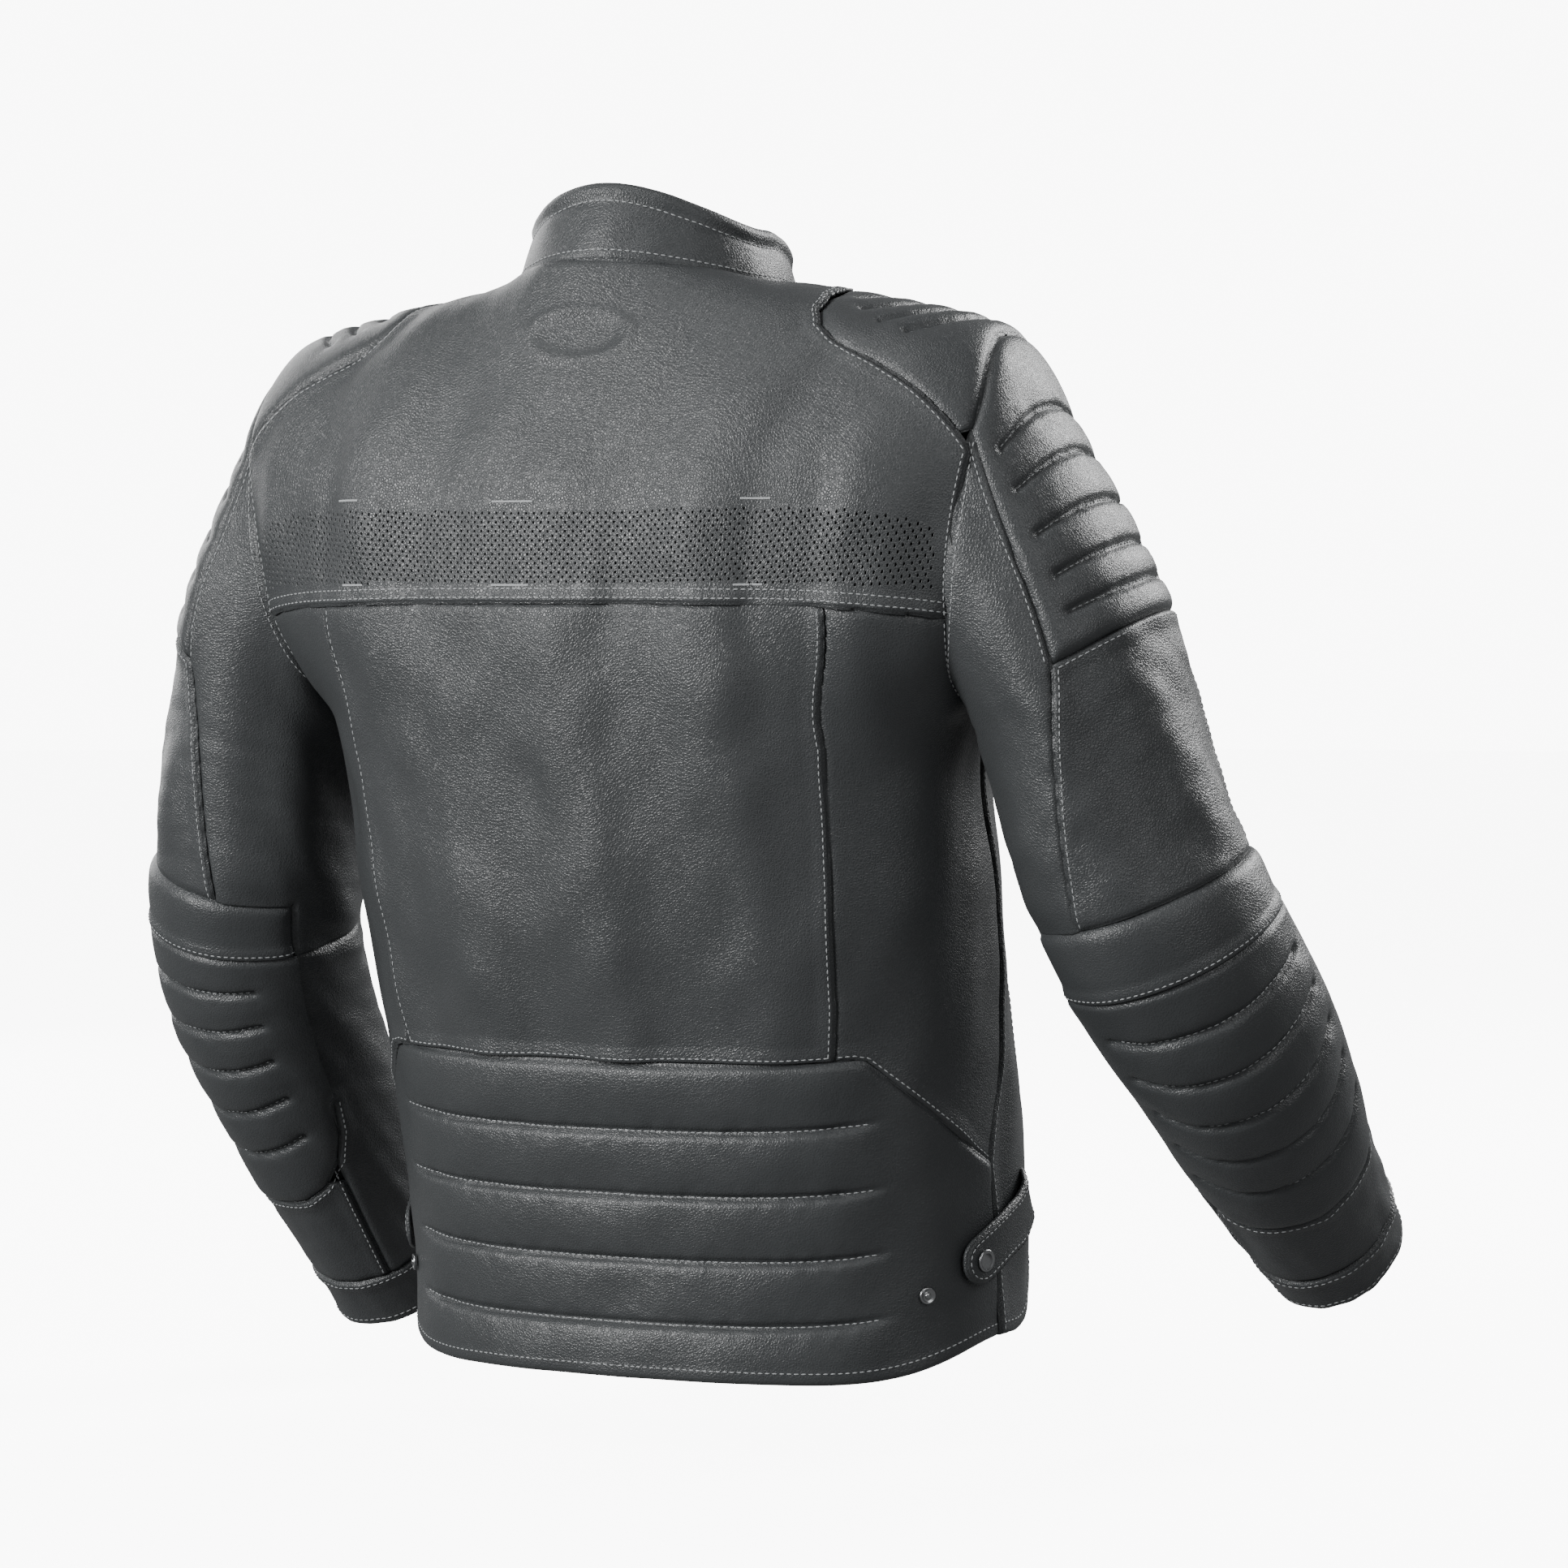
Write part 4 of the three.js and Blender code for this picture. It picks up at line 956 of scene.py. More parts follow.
SEAM_TOP = 0.7172
down_seam = [(seam_angle(x), float(x)) for x in np.linspace(SEAM_TOP, LUMBAR_CORNER[1], 18)]
lumbar_top = [LUMBAR_CORNER, down_seam[-1], (-down_seam[-1][0], down_seam[-1][1]),
              (-LUMBAR_CORNER[0], LUMBAR_CORNER[1])]
diagonal = [LUMBAR_CORNER, (50, 0.309), (SIDE_LOW[0] - 5, SIDE_LOW[1] + 0.014), SIDE_LOW]
side_arm = arm_arc(HEM_TURN, 180)
side_seam = [side_arm[-1], (98, 0.55), (101, 0.453), (98, 0.37), (92, 0.28), SIDE_LOW]
centre_hem = [(float(a), hem_line(a)) for a in np.linspace(-down_seam[0][0], down_seam[0][0], 13)]
centre_outline = centre_hem + down_seam[1:] + other_side(down_seam)[:-1]
centre_edges = [(centre_hem, under_seam), (down_seam, over_seam), (other_side(down_seam), over_seam),
                (lumbar_top[1:3], over_seam)]
centre_relief = relief_of(body_form, centre_edges, 2.2, body_folds)
made = {"back_yoke": back_yoke}
made["back_centre_panel"] = cut_panel("back_centre_leather", body_form, centre_outline, centre_relief,
                                      cell=2.8, finish=hide)
for line in (down_seam, other_side(down_seam), lumbar_top[1:3]):
    stitch("jacket_body", body_form, beside(body_form, line, 3.0, centre_outline), made["back_centre_panel"])

side_hem = [p for p in yoke_hem if p[0] >= down_seam[0][0] + 0.5] + [down_seam[0]]
side_outline = (side_hem + down_seam[1:] + [LUMBAR_CORNER] + diagonal[1:] + side_seam[::-1][1:-1]
                + side_arm[::-1][:-1])
side_edges = [(side_hem, under_seam), (down_seam, under_seam), (diagonal, over_seam),
              ([down_seam[-1], LUMBAR_CORNER], over_seam), (side_seam, under_seam), (side_arm, creased)]
for word, flip in (("right", lambda line: list(line)), ("left", other_side)):
    outline = flip(side_outline)
    relief = relief_of(body_form, [(flip(line), curve) for line, curve in side_edges], 2.2, body_folds)
    panel = cut_panel(f"back_side_leather_{word}", body_form, outline, relief, cell=2.8, finish=hide)
    made[f"back_side_panel_{word}"] = panel
    for line in ([down_seam[-1]] + diagonal, side_arm):
        stitch("jacket_body", body_form, beside(body_form, flip(line), 3.0, outline), panel)
print("back panels:", sorted(made))

# %% [markdown]
# The small of the back is padded and quilted. Thread pulls it down along five lines, the wadding is
# fullest just below each line, and the ridges fade out before the sides.

# %% The quilted lumbar panel
HEM, SIDE_HEM = 0.0, 86.0
LUMBAR_LINES = (0.25, 0.186, 0.122, 0.058)
RIB_REACH = 50.0
lumbar_hem = [(float(a), HEM) for a in np.linspace(SIDE_HEM, -SIDE_HEM, 33)]
lumbar_outline = other_side(lumbar_top)[:1] + other_side(diagonal)[::-1] + lumbar_hem[::-1] + diagonal[::-1]
lumbar_side = [SIDE_LOW, (SIDE_HEM, HEM)]
lumbar_seams = [(lumbar_top, under_seam), (diagonal, under_seam), (other_side(diagonal), under_seam)]


def rib_line(level):
    return [(float(a), level - 0.004 + 0.006 * (a / RIB_REACH) ** 2)
            for a in np.linspace(-RIB_REACH, RIB_REACH, 25)]


def quilting(p, u, v):
    edges = [LUMBAR_CORNER[1], *LUMBAR_LINES, HEM - 0.002]
    fade = 1 - ease(RIB_REACH - 12, RIB_REACH + 6, np.abs(u))
    w = v + 0.004 - 0.006 * (u / RIB_REACH) ** 2
    puff = np.zeros(len(u))
    for high, low in zip(edges[:-1], edges[1:]):
        f = np.clip((high - w) / (high - low), 0, 1)
        rise, fall = np.power(np.clip(f, 1e-6, 1), 0.42), np.power(np.clip(1 - f, 1e-6, 1), 0.75)
        puff = np.maximum(puff, 5.0 * rise * fall)
    gap = np.full(len(u), 1e9)
    for line in (in_space(body_form, rib_line(x)) for x in LUMBAR_LINES):
        gap = np.minimum(gap, distance_to(p, line)[0])
    pucker = 0.55 * waves(p, 21, 9) * np.exp(-gap / 6)
    return fade * (puff * 1.55 - 2.8 * np.exp(-((gap / 1.7) ** 2)) + pucker) + 0.4 * waves(p, 22, 30)


lumbar_seams += [(lumbar_side, creased), (other_side(lumbar_side), creased), (lumbar_hem, rolled)]
lumbar_relief = relief_of(body_form, lumbar_seams, 3.3, quilting)
lumbar = cut_panel("lumbar_quilted_leather", body_form, lumbar_outline, lumbar_relief, cell=(2.6, 1.6),
                   under=0.4, finish=ribbed_hide)
made["lumbar_panel"] = lumbar
for level in LUMBAR_LINES:
    stitch("jacket_body", body_form, rib_line(level), lumbar)
stitch("jacket_body", body_form, beside(body_form, lumbar_hem, 7.0, lumbar_outline), lumbar)
print("lumbar faces:", len(made["lumbar_panel"].data.polygons))

# %% [markdown]
# The front panels run from the side seam to the centre-front zip, and each has a slot for a pocket zip.
# The slot is cut with the panel, so its edge gets the same rolled rings as a seam.

# %% The front panels
FRONT_EDGE = 178.3
POCKET_LOW, POCKET_HIGH = (117, 0.27), (124, 0.47)


def slot_round(form, start, end, half, spare):
    """A slim slot from one pattern point to another."""
    a, b = form(*start), form(*end)
    along = (b - a) / np.linalg.norm(b - a)
    ends = []
    for point, push, sign in ((start, -spare, 1), (end, spare, 1), (end, spare, -1), (start, -spare, -1)):
        u, v = np.array([point[0]], float), np.array([point[1]], float)
        side = np.cross(slopes(form, u, v)[2], along) * half * sign
        du, dv = metric_step(form, u, v, side + along * push)
        ends.append((float(u[0] + du[0]), float(v[0] + dv[0])))
    return ends


front_arm = arm_arc(180, 360 - FRONT_TURN, 36)
side_line = [(SIDE_HEM, HEM)] + side_seam[::-1]
front_outline = (side_line[:-1] + front_arm + [PAD_FRONT, PAD_RIDGE, (90, 1), (120, 1), (150, 1)]
                 + [(FRONT_EDGE - 2.2, 1), (FRONT_EDGE, 0.5), (FRONT_EDGE, 0)])
front_edges = [(side_line, over_seam), (front_arm, creased),
               ([front_arm[-1], PAD_FRONT, PAD_RIDGE], under_seam), ([PAD_RIDGE, (90, 1)], creased),
               ([(90, 1), (120, 1), (150, 1), (FRONT_EDGE - 2.2, 1)], creased),
               ([(FRONT_EDGE - 2.2, 1), (FRONT_EDGE, 0.5), (FRONT_EDGE, 0)], rolled),
               ([(SIDE_HEM, 0), (135, 0), (FRONT_EDGE, 0)], rolled)]
for word, flip in (("right", lambda line: list(line)), ("left", at_front)):
    outline = flip(front_outline)
    slot = slot_round(body_form, *(flip([POCKET_LOW]) + flip([POCKET_HIGH])), 4.6, 1.0)
    edges = [(flip(line), curve) for line, curve in front_edges] + [(slot + slot[:1], rolled)]
    relief = relief_of(body_form, edges, 2.2, body_folds)
    panel = cut_panel(f"front_leather_{word}", body_form, outline, relief, cell=3.2, holes=[slot],
                      finish=hide)
    made[f"front_panel_{word}"] = panel
    for line, offset in ((front_edges[0][0], 3.0), (front_edges[5][0], 6.0), (front_edges[6][0], 7.0)):
        stitch("jacket_body", body_form, beside(body_form, flip(line), offset, outline), panel)
    ring = slot_round(body_form, *(flip([POCKET_LOW]) + flip([POCKET_HIGH])), 8.2, 5.0)
    stitch("jacket_body", body_form, ring + ring[:1], panel)
print("front panels cut")

# %% [markdown]
# Ribbed pads cover the shoulders, the outer arms and the elbows. Their ribs stop short of the pad's
# edge, so the pad stays a smooth cushion round its border and bends like a bellows in the middle.

# %% Ribbed pads
def ribs(form, lines, height, seed, reach=5.5):
    """Cushion height with stitched channels along the given pattern lines."""
    shaped = [in_space(form, line) for line in lines]

    def extra(p, u, v):
        gap = np.full(len(p), 1e3)
        for line in shaped:
            gap = np.minimum(gap, distance_to(p, line)[0])
        dip = height * (0.62 * np.exp(-((gap / 1.9) ** 2)) + 0.5 * np.exp(-gap / reach))
        return -dip + 0.45 * waves(p, seed, 10) * np.exp(-gap / 6) + 0.3 * waves(p, seed + 1, 34)
    return extra


def rib_stitches(group, form, lines, panel):
    for line in lines:
        stitch(group, form, line, panel, trim=1.0)


pad_outline = ridge[:-1] + arm_arc(PAD_TURN, -FRONT_TURN, 36) + [PAD_FRONT]
pad_ribs = [[(float(a), level) for a in np.linspace(90 - back, 90 + 22, 13)]
            for level, back in ((0.949, 17), (0.932, 26), (0.915, 29), (0.899, 28))]
for word, flip in (("right", lambda line: list(line)), ("left", other_side)):
    outline, lines = flip(pad_outline), [flip(line) for line in pad_ribs]
    relief = relief_of(body_form, [(outline + outline[:1], wadded)], 6.6, ribs(body_form, lines, 4.4, 31))
    pad = cut_panel(f"shoulder_ribs_{word}", body_form, outline, relief, cell=1.9, under=0.4,
                    finish=ribbed_hide)
    made[f"shoulder_pad_{word}"] = pad
    rib_stitches("jacket_body", body_form, lines, pad)
print("shoulder pads ribbed")

# %% [markdown]
# A sleeve is a bent tube of several leathers. From the shoulder down it has a ribbed pad on the outside,
# plain outer and under panels, a band and a ribbed patch at the elbow, a forearm with a zip slot, and a
# cuff. The elbow is bent as in a riding position, so the inside of the elbow folds and the patch is taut.

# %% Folds of a sleeve
ARM_PAD_END, BAND_START, ELBOW, ELBOW_PAD_END, CUFF_START = 0.235, 0.5, 0.57, 0.86, 0.95
PATCH_FRONT, PATCH_BACK = -40, 142
BACK_SEAM, FRONT_SEAM = (62, 68, 100), (-55, -50, -45)


def sleeve_folds(side, strength=1.0):
    seed = 40 if side == "right" else 60

    def extra(p, u, v):
        c, s = np.cos(np.radians(u)), np.sin(np.radians(u))
        along = np.stack([60 * c, 60 * s, 210 * v + 30 * s], -1)
        crossing = np.stack([24 * c, 24 * s, 600 * v + 22 * s], -1)
        deep = np.interp(v, [0, 0.1, 0.25, 0.45, 0.6, 0.8, 1], [0.6, 2.4, 2.8, 2.6, 1.6, 1.2, 0.4])
        bend = np.exp(-(((v - 0.56) / 0.09) ** 2)) * (1 - c) / 2
        fold = deep * waves(along, seed, 52) + 3.4 * bend * waves(crossing, seed + 1, 34)
        return strength * (fold + 1.3 + 0.45 * waves(crossing * [2, 2, 1], seed + 2, 19))
    return extra


def start_line(a, b, steps=24):
    tuck = 0.007    # share of the arm that the corner of three leathers is tucked under the yoke
    return [(float(x), float(sleeve_edge(x)) - tuck * math.exp(-(((x - 65) / 10) ** 2)))
            for x in np.linspace(a, b, steps + 1)]


def across(a, b, down, steps=12):
    return [(float(x), down) for x in np.linspace(a, b, steps + 1)]


def on(point):
    return (point[0] + 360, point[1])


def curved(a, b, down, sag):
    """A line round the arm that hangs lower in its middle."""
    middle, half = (a + b) / 2, (b - a) / 2
    return [(float(x), down + sag * (1 - ((x - middle) / half) ** 2)) for x in np.linspace(a, b, 15)]


print("the sleeves' own leather starts, as a share of the arm, at", round(float(sleeve_edge(0)), 4))

# %% The panels of both sleeves
top_back = [(BACK_SEAM[0], sleeve_edge(BACK_SEAM[0])), (BACK_SEAM[1], ARM_PAD_END)]
top_front = [(FRONT_SEAM[0], sleeve_edge(FRONT_SEAM[0])), (FRONT_SEAM[1], ARM_PAD_END)]
mid_back = [(BACK_SEAM[1], ARM_PAD_END), (BACK_SEAM[2], BAND_START)]
mid_front = [(FRONT_SEAM[1], ARM_PAD_END), (FRONT_SEAM[2], BAND_START)]
pad_end = across(BACK_SEAM[1], FRONT_SEAM[1], ARM_PAD_END)
pad_start = start_line(FRONT_SEAM[0], BACK_SEAM[0])
arm_pad_outline = pad_start + pad_end
outer_end = across(BACK_SEAM[2], FRONT_SEAM[2], BAND_START)
outer_outline = pad_end[::-1] + outer_end
band_top, band_end = across(PATCH_FRONT, PATCH_BACK, BAND_START), across(PATCH_BACK, PATCH_FRONT, ELBOW)
under_start = start_line(BACK_SEAM[0], FRONT_SEAM[0] + 360, 36)
under_end = across(PATCH_FRONT + 360, PATCH_BACK, ELBOW, 18)
under_outline = (under_start + [on(mid_front[0]), on(mid_front[1]), on((PATCH_FRONT, BAND_START))] + under_end
                 + [(PATCH_BACK, BAND_START), mid_back[1], mid_back[0]])
patch_low = [(PATCH_BACK, 0.76), (PATCH_BACK - 4, 0.795), (PATCH_BACK - 12, 0.82), (PATCH_BACK - 27, 0.842),
             (PATCH_BACK - 45, 0.853), (51, ELBOW_PAD_END), (PATCH_FRONT + 45, 0.853),
             (PATCH_FRONT + 27, 0.842),
             (PATCH_FRONT + 12, 0.82), (PATCH_FRONT + 4, 0.795), (PATCH_FRONT, 0.76)]
patch_outline = band_end[::-1] + patch_low
forearm_seam_top = (PATCH_BACK - 14, 0.82)
forearm_outline = (across(PATCH_BACK, PATCH_FRONT + 360, ELBOW, 18) + [on(p) for p in patch_low[::-1]][:-2]
                   + [forearm_seam_top, (PATCH_BACK - 14, CUFF_START)]
                   + across(PATCH_BACK - 14 + 345, PATCH_BACK, CUFF_START, 24))
CUFF_ZIP_TOP, CUFF_ZIP_LOW = (205, 0.82), (205, 0.99)
forearm_outline = (across(PATCH_BACK, PATCH_FRONT + 360, ELBOW, 18) + [on(p) for p in patch_low[::-1]][1:-2]
                   + [on((PATCH_BACK - 14, 0.824)), on((PATCH_BACK - 14, CUFF_START))]
                   + across(PATCH_BACK - 14 + 360, PATCH_BACK - 14, CUFF_START, 24)[1:]
                   + [(PATCH_BACK - 14, 0.824), (PATCH_BACK - 12, 0.82), (PATCH_BACK - 4, 0.795)])
cuff_top = across(CUFF_ZIP_LOW[0] + 1, CUFF_ZIP_LOW[0] + 359, CUFF_START, 24)
cuff_end = across(CUFF_ZIP_LOW[0] + 359, CUFF_ZIP_LOW[0] + 1, 1.0, 24)
cuff_outline = cuff_top + cuff_end
arm_ribs = [curved(-38, 50, down, 0.006) for down in (0.055, 0.09, 0.125, 0.16, 0.195)]
elbow_ribs = [curved(-14, 116, down, sag) for down, sag in
              ((0.612, 0.004), (0.655, 0.008), (0.698, 0.012), (0.741, 0.016), (0.784, 0.018))]
for word, form in FORMS.items():
    folds, soft = sleeve_folds(word), sleeve_folds(word, 0.35)
    upper, lower = f"upper_sleeve_{word}", f"forearm_{word}"

    def rib_pad(name, outline, edges, lines, height, group, base=6.4):
        shape = ribs(form, lines, height, 70)
        relief = relief_of(form, edges, base, lambda p, u, v: shape(p, u, v) + soft(p, u, v))
        pad = cut_panel(f"{name}_ribs_{word}", form, outline, relief, cell=1.9, under=0.4, finish=ribbed_hide)
        made[f"{name}_{word}"] = pad
        rib_stitches(group, form, lines, pad)

    def plain(name, outline, edges, rows, group, holes=(), base=2.2, cell=2.8):
        relief = relief_of(form, edges, base, folds)
        panel = cut_panel(f"{name}_leather_{word}", form, outline, relief, cell=cell, holes=holes,
                          finish=hide)
        made[f"{name}_{word}"] = panel
        for line, offset in rows:
            stitch(group, form, beside(form, line, offset, outline), panel)

    rib_pad("upper_arm_pad", arm_pad_outline, [(arm_pad_outline + arm_pad_outline[:1], wadded)], arm_ribs,
            4.8, upper)
    plain("upper_sleeve", outer_outline, [(pad_end, over_seam), (mid_back, over_seam), (mid_front, over_seam),
                                          (outer_end, under_seam)],
          [(pad_end, 3.0), (mid_back, 3.0), (mid_front, 3.0)], upper)
    plain("under_sleeve", under_outline,
          [(under_start, creased), (top_back, over_seam), ([on(p) for p in top_front], over_seam),
           (mid_back, under_seam), ([on(p) for p in mid_front], under_seam), (under_end, under_seam),
           ([(PATCH_BACK, ELBOW), (PATCH_BACK, BAND_START)], under_seam),
           ([on((PATCH_FRONT, ELBOW)), on((PATCH_FRONT, BAND_START))], under_seam)],
          [(top_back, 3.0), ([on(p) for p in top_front], 3.0), (under_start, 3.5)], upper)
    band_outline = band_top + band_end
    rib_pad("elbow_band", band_outline, [(band_top, wadded), (band_end, over_seam),
                                         ([band_end[0], band_top[-1]], wadded),
                                         ([band_end[-1], band_top[0]], wadded)], [], 0, upper, base=5.6)
    stitch(upper, form, beside(form, band_end, 3.2, band_outline), made[f"elbow_band_{word}"])
    patch_edges = [(patch_low, wadded), (band_end, under_seam)]
    rib_pad("elbow_pad", patch_outline, patch_edges, elbow_ribs, 4.4, lower)
    slot = slot_round(form, CUFF_ZIP_LOW, CUFF_ZIP_TOP, 4.6, 1.0)
    slot[0], slot[3] = (slot[0][0], 1.03), (slot[3][0], 1.03)
    patch_edge = [on(p) for p in patch_low[::-1]]
    seam_down = [forearm_seam_top, (PATCH_BACK - 14, CUFF_START)]
    plain("forearm", forearm_outline,
          [(across(PATCH_BACK, PATCH_FRONT + 360, ELBOW, 18), creased), (patch_edge, over_seam),
           (patch_low, over_seam),
           (seam_down, creased), ([on(p) for p in seam_down], over_seam),
           (across(PATCH_BACK - 14, PATCH_BACK - 14 + 360, CUFF_START, 24), under_seam),
           (slot + slot[:1], rolled)],
          [(patch_edge, 3.0), ([on(p) for p in seam_down], 3.0)], lower, holes=[slot])
    plain("cuff_band", cuff_outline, [(cuff_top, over_seam), (cuff_end, rolled),
                                      ([cuff_top[0], cuff_end[-1]], rolled),
                                      ([cuff_top[-1], cuff_end[0]], rolled)],
          [(cuff_top, 3.0), (cuff_end, 5.0)], lower, base=2.6, cell=2.4)
print("sleeve panels:", sum("right" in name or "left" in name for name in made))

# %% [markdown]
# The stand collar is two leathers with stiffening between, so it is one thick panel that keeps its curve.
# It has a stitched top edge and a row along its base.

# %% The collar
COLLAR_START = 0.0
collar_outline = ([(float(a), COLLAR_START) for a in np.linspace(-176, 176, 60)]
                  + [(float(a), 1.0) for a in np.linspace(168, -168, 60)])
collar_top = [(float(a), 1.0) for a in np.linspace(168, -168, 60)]
collar_base = [(float(a), COLLAR_START) for a in np.linspace(-176, 176, 60)]


def collar_shape(p, u, v):
    return 0.6 * waves(p, 90, 40) + 0.25 * waves(p, 91, 18)


def rolled_top(d):
    """The top edge is a soft roll, held down by the row of stitches under it."""
    return rolled(d) + 1.7 * np.exp(-(((d - 5.0) / 3.6) ** 2)) - 0.8 * np.exp(-(((d - 11.0) / 1.6) ** 2))


collar_relief = relief_of(collar_form, [(collar_top, rolled_top), (collar_base, creased),
                                        ([collar_base[-1], collar_top[0]], rolled),
                                        ([collar_top[-1], collar_base[0]], rolled)], 2.2, collar_shape)
made["collar"] = cut_panel("stand_collar_leather", collar_form, collar_outline, collar_relief, cell=2.4,
                           thickness=4.2, finish=edge_hide)
for line, offset in ((collar_top, 11.0), (collar_base, 6.0), ([collar_base[-1], collar_top[0]], 5.0),
                     ([collar_top[-1], collar_base[0]], 5.0)):
    stitch("jacket_body", collar_form, beside(collar_form, line, offset, collar_outline), made["collar"])
print("collar faces:", len(made["collar"].data.polygons))

# %% [markdown]
# The lining hangs loose inside: one piece round the body with a hole for each arm, and two tubes in
# each sleeve that meet at the elbow. It is quilted in small diamonds, which a product of two waves gives.

# %% The lining and the protectors
BODY_LINING, SLEEVE_LINING, LINING = -1.7, -1.1, 1.2


def quilted(base):
    def relief(u, v):
        one_way, other_way = np.radians(u * 12 + v * 5400), np.radians(u * 12 - v * 5400)
        return base - 0.35 * np.abs(np.sin(one_way) * np.sin(other_way)) - 0.1
    return relief


body_arm_hole = [(60.2, 0.626), (119.8, 0.626), (119.8, 0.915), (60.2, 0.915)]
lining_outline = [(188, 0.002), (532, 0.002), (532, 0.94), (188, 0.94)]
arm_holes = [[on(p) for p in body_arm_hole], [(u, v) for u, v in at_front(body_arm_hole)]]
made["torso_lining"] = cut_panel("torso_lining_mesh", body_form, lining_outline, quilted(BODY_LINING),
                                 cell=5.0,
                                 holes=arm_holes, thickness=LINING, finish=lining_finish)
for word, form in FORMS.items():
    for name, start, end in (("upper_lining", 0.15, ELBOW), ("lower_lining", ELBOW, 0.985)):
        outline = across(-178, 182, start, 24) + across(182, -178, end, 24)
        made[f"{name}_{word}"] = cut_panel(f"{name}_mesh_{word}", form, outline, quilted(SLEEVE_LINING),
                                               cell=5.0,
                                           thickness=LINING, finish=lining_finish)
FOAM = 9.0
FOAM_TOP = -1.7 - 1.2 - 1.5


def moulded(p, u, v):
    return -0.9 * np.clip(np.sin(p[:, 0] / 5.5) * np.sin(p[:, 2] / 5.5), 0.25, 1)


plate = [(-34, 0.34), (-38, 0.6), (-30, 0.82), (-14, 0.88), (14, 0.88), (30, 0.82), (38, 0.6), (34, 0.34)]
foam = [("back_protector", body_form, plate)]
for word, form in FORMS.items():
    foam.append((f"shoulder_protector_{word}", form, across(-44, 44, 0.13, 8) + across(30, -30, 0.27, 8)))
    foam.append((f"elbow_protector_{word}", form, across(0, 100, ELBOW + 0.012, 8) + across(85, 15, 0.8, 8)))
for name, form, outline in foam:
    relief = relief_of(form, [(outline + outline[:1], rolled)], FOAM_TOP - 0.3, moulded)
    made[name] = cut_panel(f"{name}_foam", form, outline, relief, cell=4.0, thickness=FOAM - 0.6,
                           finish=foam_finish)
print("pieces so far:", len(made))

# %% [markdown]
# A waist tab is a double strap sewn on near the side seam, with a snap at its round end. The collar tab
# is a smaller one. Both are cut like panels, with a height that starts in the seam and rises clear.

# %% The tabs
TAB_ROOT, TAB_TIP, TAB_WIDTH = (104, 0.15), (72, 0.085), 28.0
TAB_AT_SEAM, TAB_AT_SNAP = 3.2, 9.4
COLLAR_TAB_ROOT, COLLAR_TAB_TIP, COLLAR_TAB_WIDTH = (162, 0.525), (200, 0.525), 15.0
COLLAR_TAB_AT_SEAM, COLLAR_TAB_AT_SNAP = 3.6, 5.2


def strap_outline(form, root, tip, width, steps=9):
    """Both long sides and the round end of a strap."""
    a, b = form(*root), form(*tip)
    length, half = float(np.linalg.norm(b - a)), width / 2

    def spot(share, side):
        u = np.array([root[0] + (tip[0] - root[0]) * share])
        v = np.array([root[1] + (tip[1] - root[1]) * share])
        out = slopes(form, u, v)[2]
        way = (b - a) - ((b - a) * out).sum() * out
        du, dv = metric_step(form, u, v, np.cross(out, way / np.linalg.norm(way)) * side)
        return float(u[0] + du[0]), float(v[0] + dv[0])
    straight = 1 - half / length
    near = [spot(straight * x, half) for x in np.linspace(0, 1, 6)]
    far = [spot(straight * x, -half) for x in np.linspace(1, 0, 6)]
    turn = [spot(straight + half / length * math.cos(t), half * math.sin(t))
            for t in np.linspace(math.pi / 2, -math.pi / 2, steps + 2)[1:-1]]
    return near + turn + far, spot(straight, 0.0)


def strap(name, form, root, tip, width, low, high, finish):
    outline, snap_spot = strap_outline(form, root, tip, width)
    start, end = form(*root), form(*tip)
    way = (end - start) / np.linalg.norm(end - start)

    def relief(u, v):
        p = form(u, v)
        along = (p - start) @ way
        edge = distance_to(p, in_space(form, outline + outline[:1]))[0]
        height = low + (high - low) * ease(-2, 17, along)
        return height - 1.0 * (1 - ease(0, 1.5, edge)) + 0.35 * ease(0, 2, edge) * (1 - ease(4, 7, edge))
    piece = cut_panel(name, form, outline, relief, cell=1.7, thickness=2.2, finish=finish)
    return piece, outline, snap_spot


snap_spots = {}
for word, flip in (("right", lambda line: list(line)), ("left", at_front)):
    root, tip = flip([TAB_ROOT])[0], flip([TAB_TIP])[0]
    piece, outline, snap_spots[word] = strap(f"waist_tab_leather_{word}", body_form, root, tip, TAB_WIDTH,
                                             TAB_AT_SEAM, TAB_AT_SNAP, hide)
    made[f"waist_tab_{word}"] = piece
    stitch(f"waist_tab_{word}_body", body_form, beside(body_form, outline, 3.0, outline), piece, trim=0.5)
tab, outline, snap_spots["collar"] = strap("collar_tab_leather", collar_form, COLLAR_TAB_ROOT, COLLAR_TAB_TIP,
                                           COLLAR_TAB_WIDTH, COLLAR_TAB_AT_SEAM, COLLAR_TAB_AT_SNAP,
                                           edge_hide)
made["collar_tab"] = tab
stitch("collar_tab_body", collar_form, beside(collar_form, outline, 2.6, outline), tab, trim=0.5)
print("snaps at", {k: tuple(round(x, 3) for x in v) for k, v in snap_spots.items()})

# %% [markdown]
# A snap cap is turned metal: a low dome with a rolled rim round it. The spare stud below it is the same
# turned ring with a post in the middle. A short profile, spun round its axis, makes each of them.

# %% Snaps
CAP_PROFILE = [(0.0, 2.0), (2.2, 1.95), (3.9, 1.65), (4.5, 1.35), (4.9, 1.5), (5.5, 1.95), (6.05, 1.8),
               (6.4, 1.2),
               (6.4, 0.5), (6.1, 0.0), (0.0, 0.0)]
STUD_PROFILE = [(0.0, 2.3), (1.3, 2.2), (1.8, 1.8), (1.7, 0.9), (2.4, 0.7), (3.4, 0.9), (3.9, 1.5),
                (4.5, 1.5),
                (4.9, 0.9), (4.9, 0.0), (0.0, 0.0)]


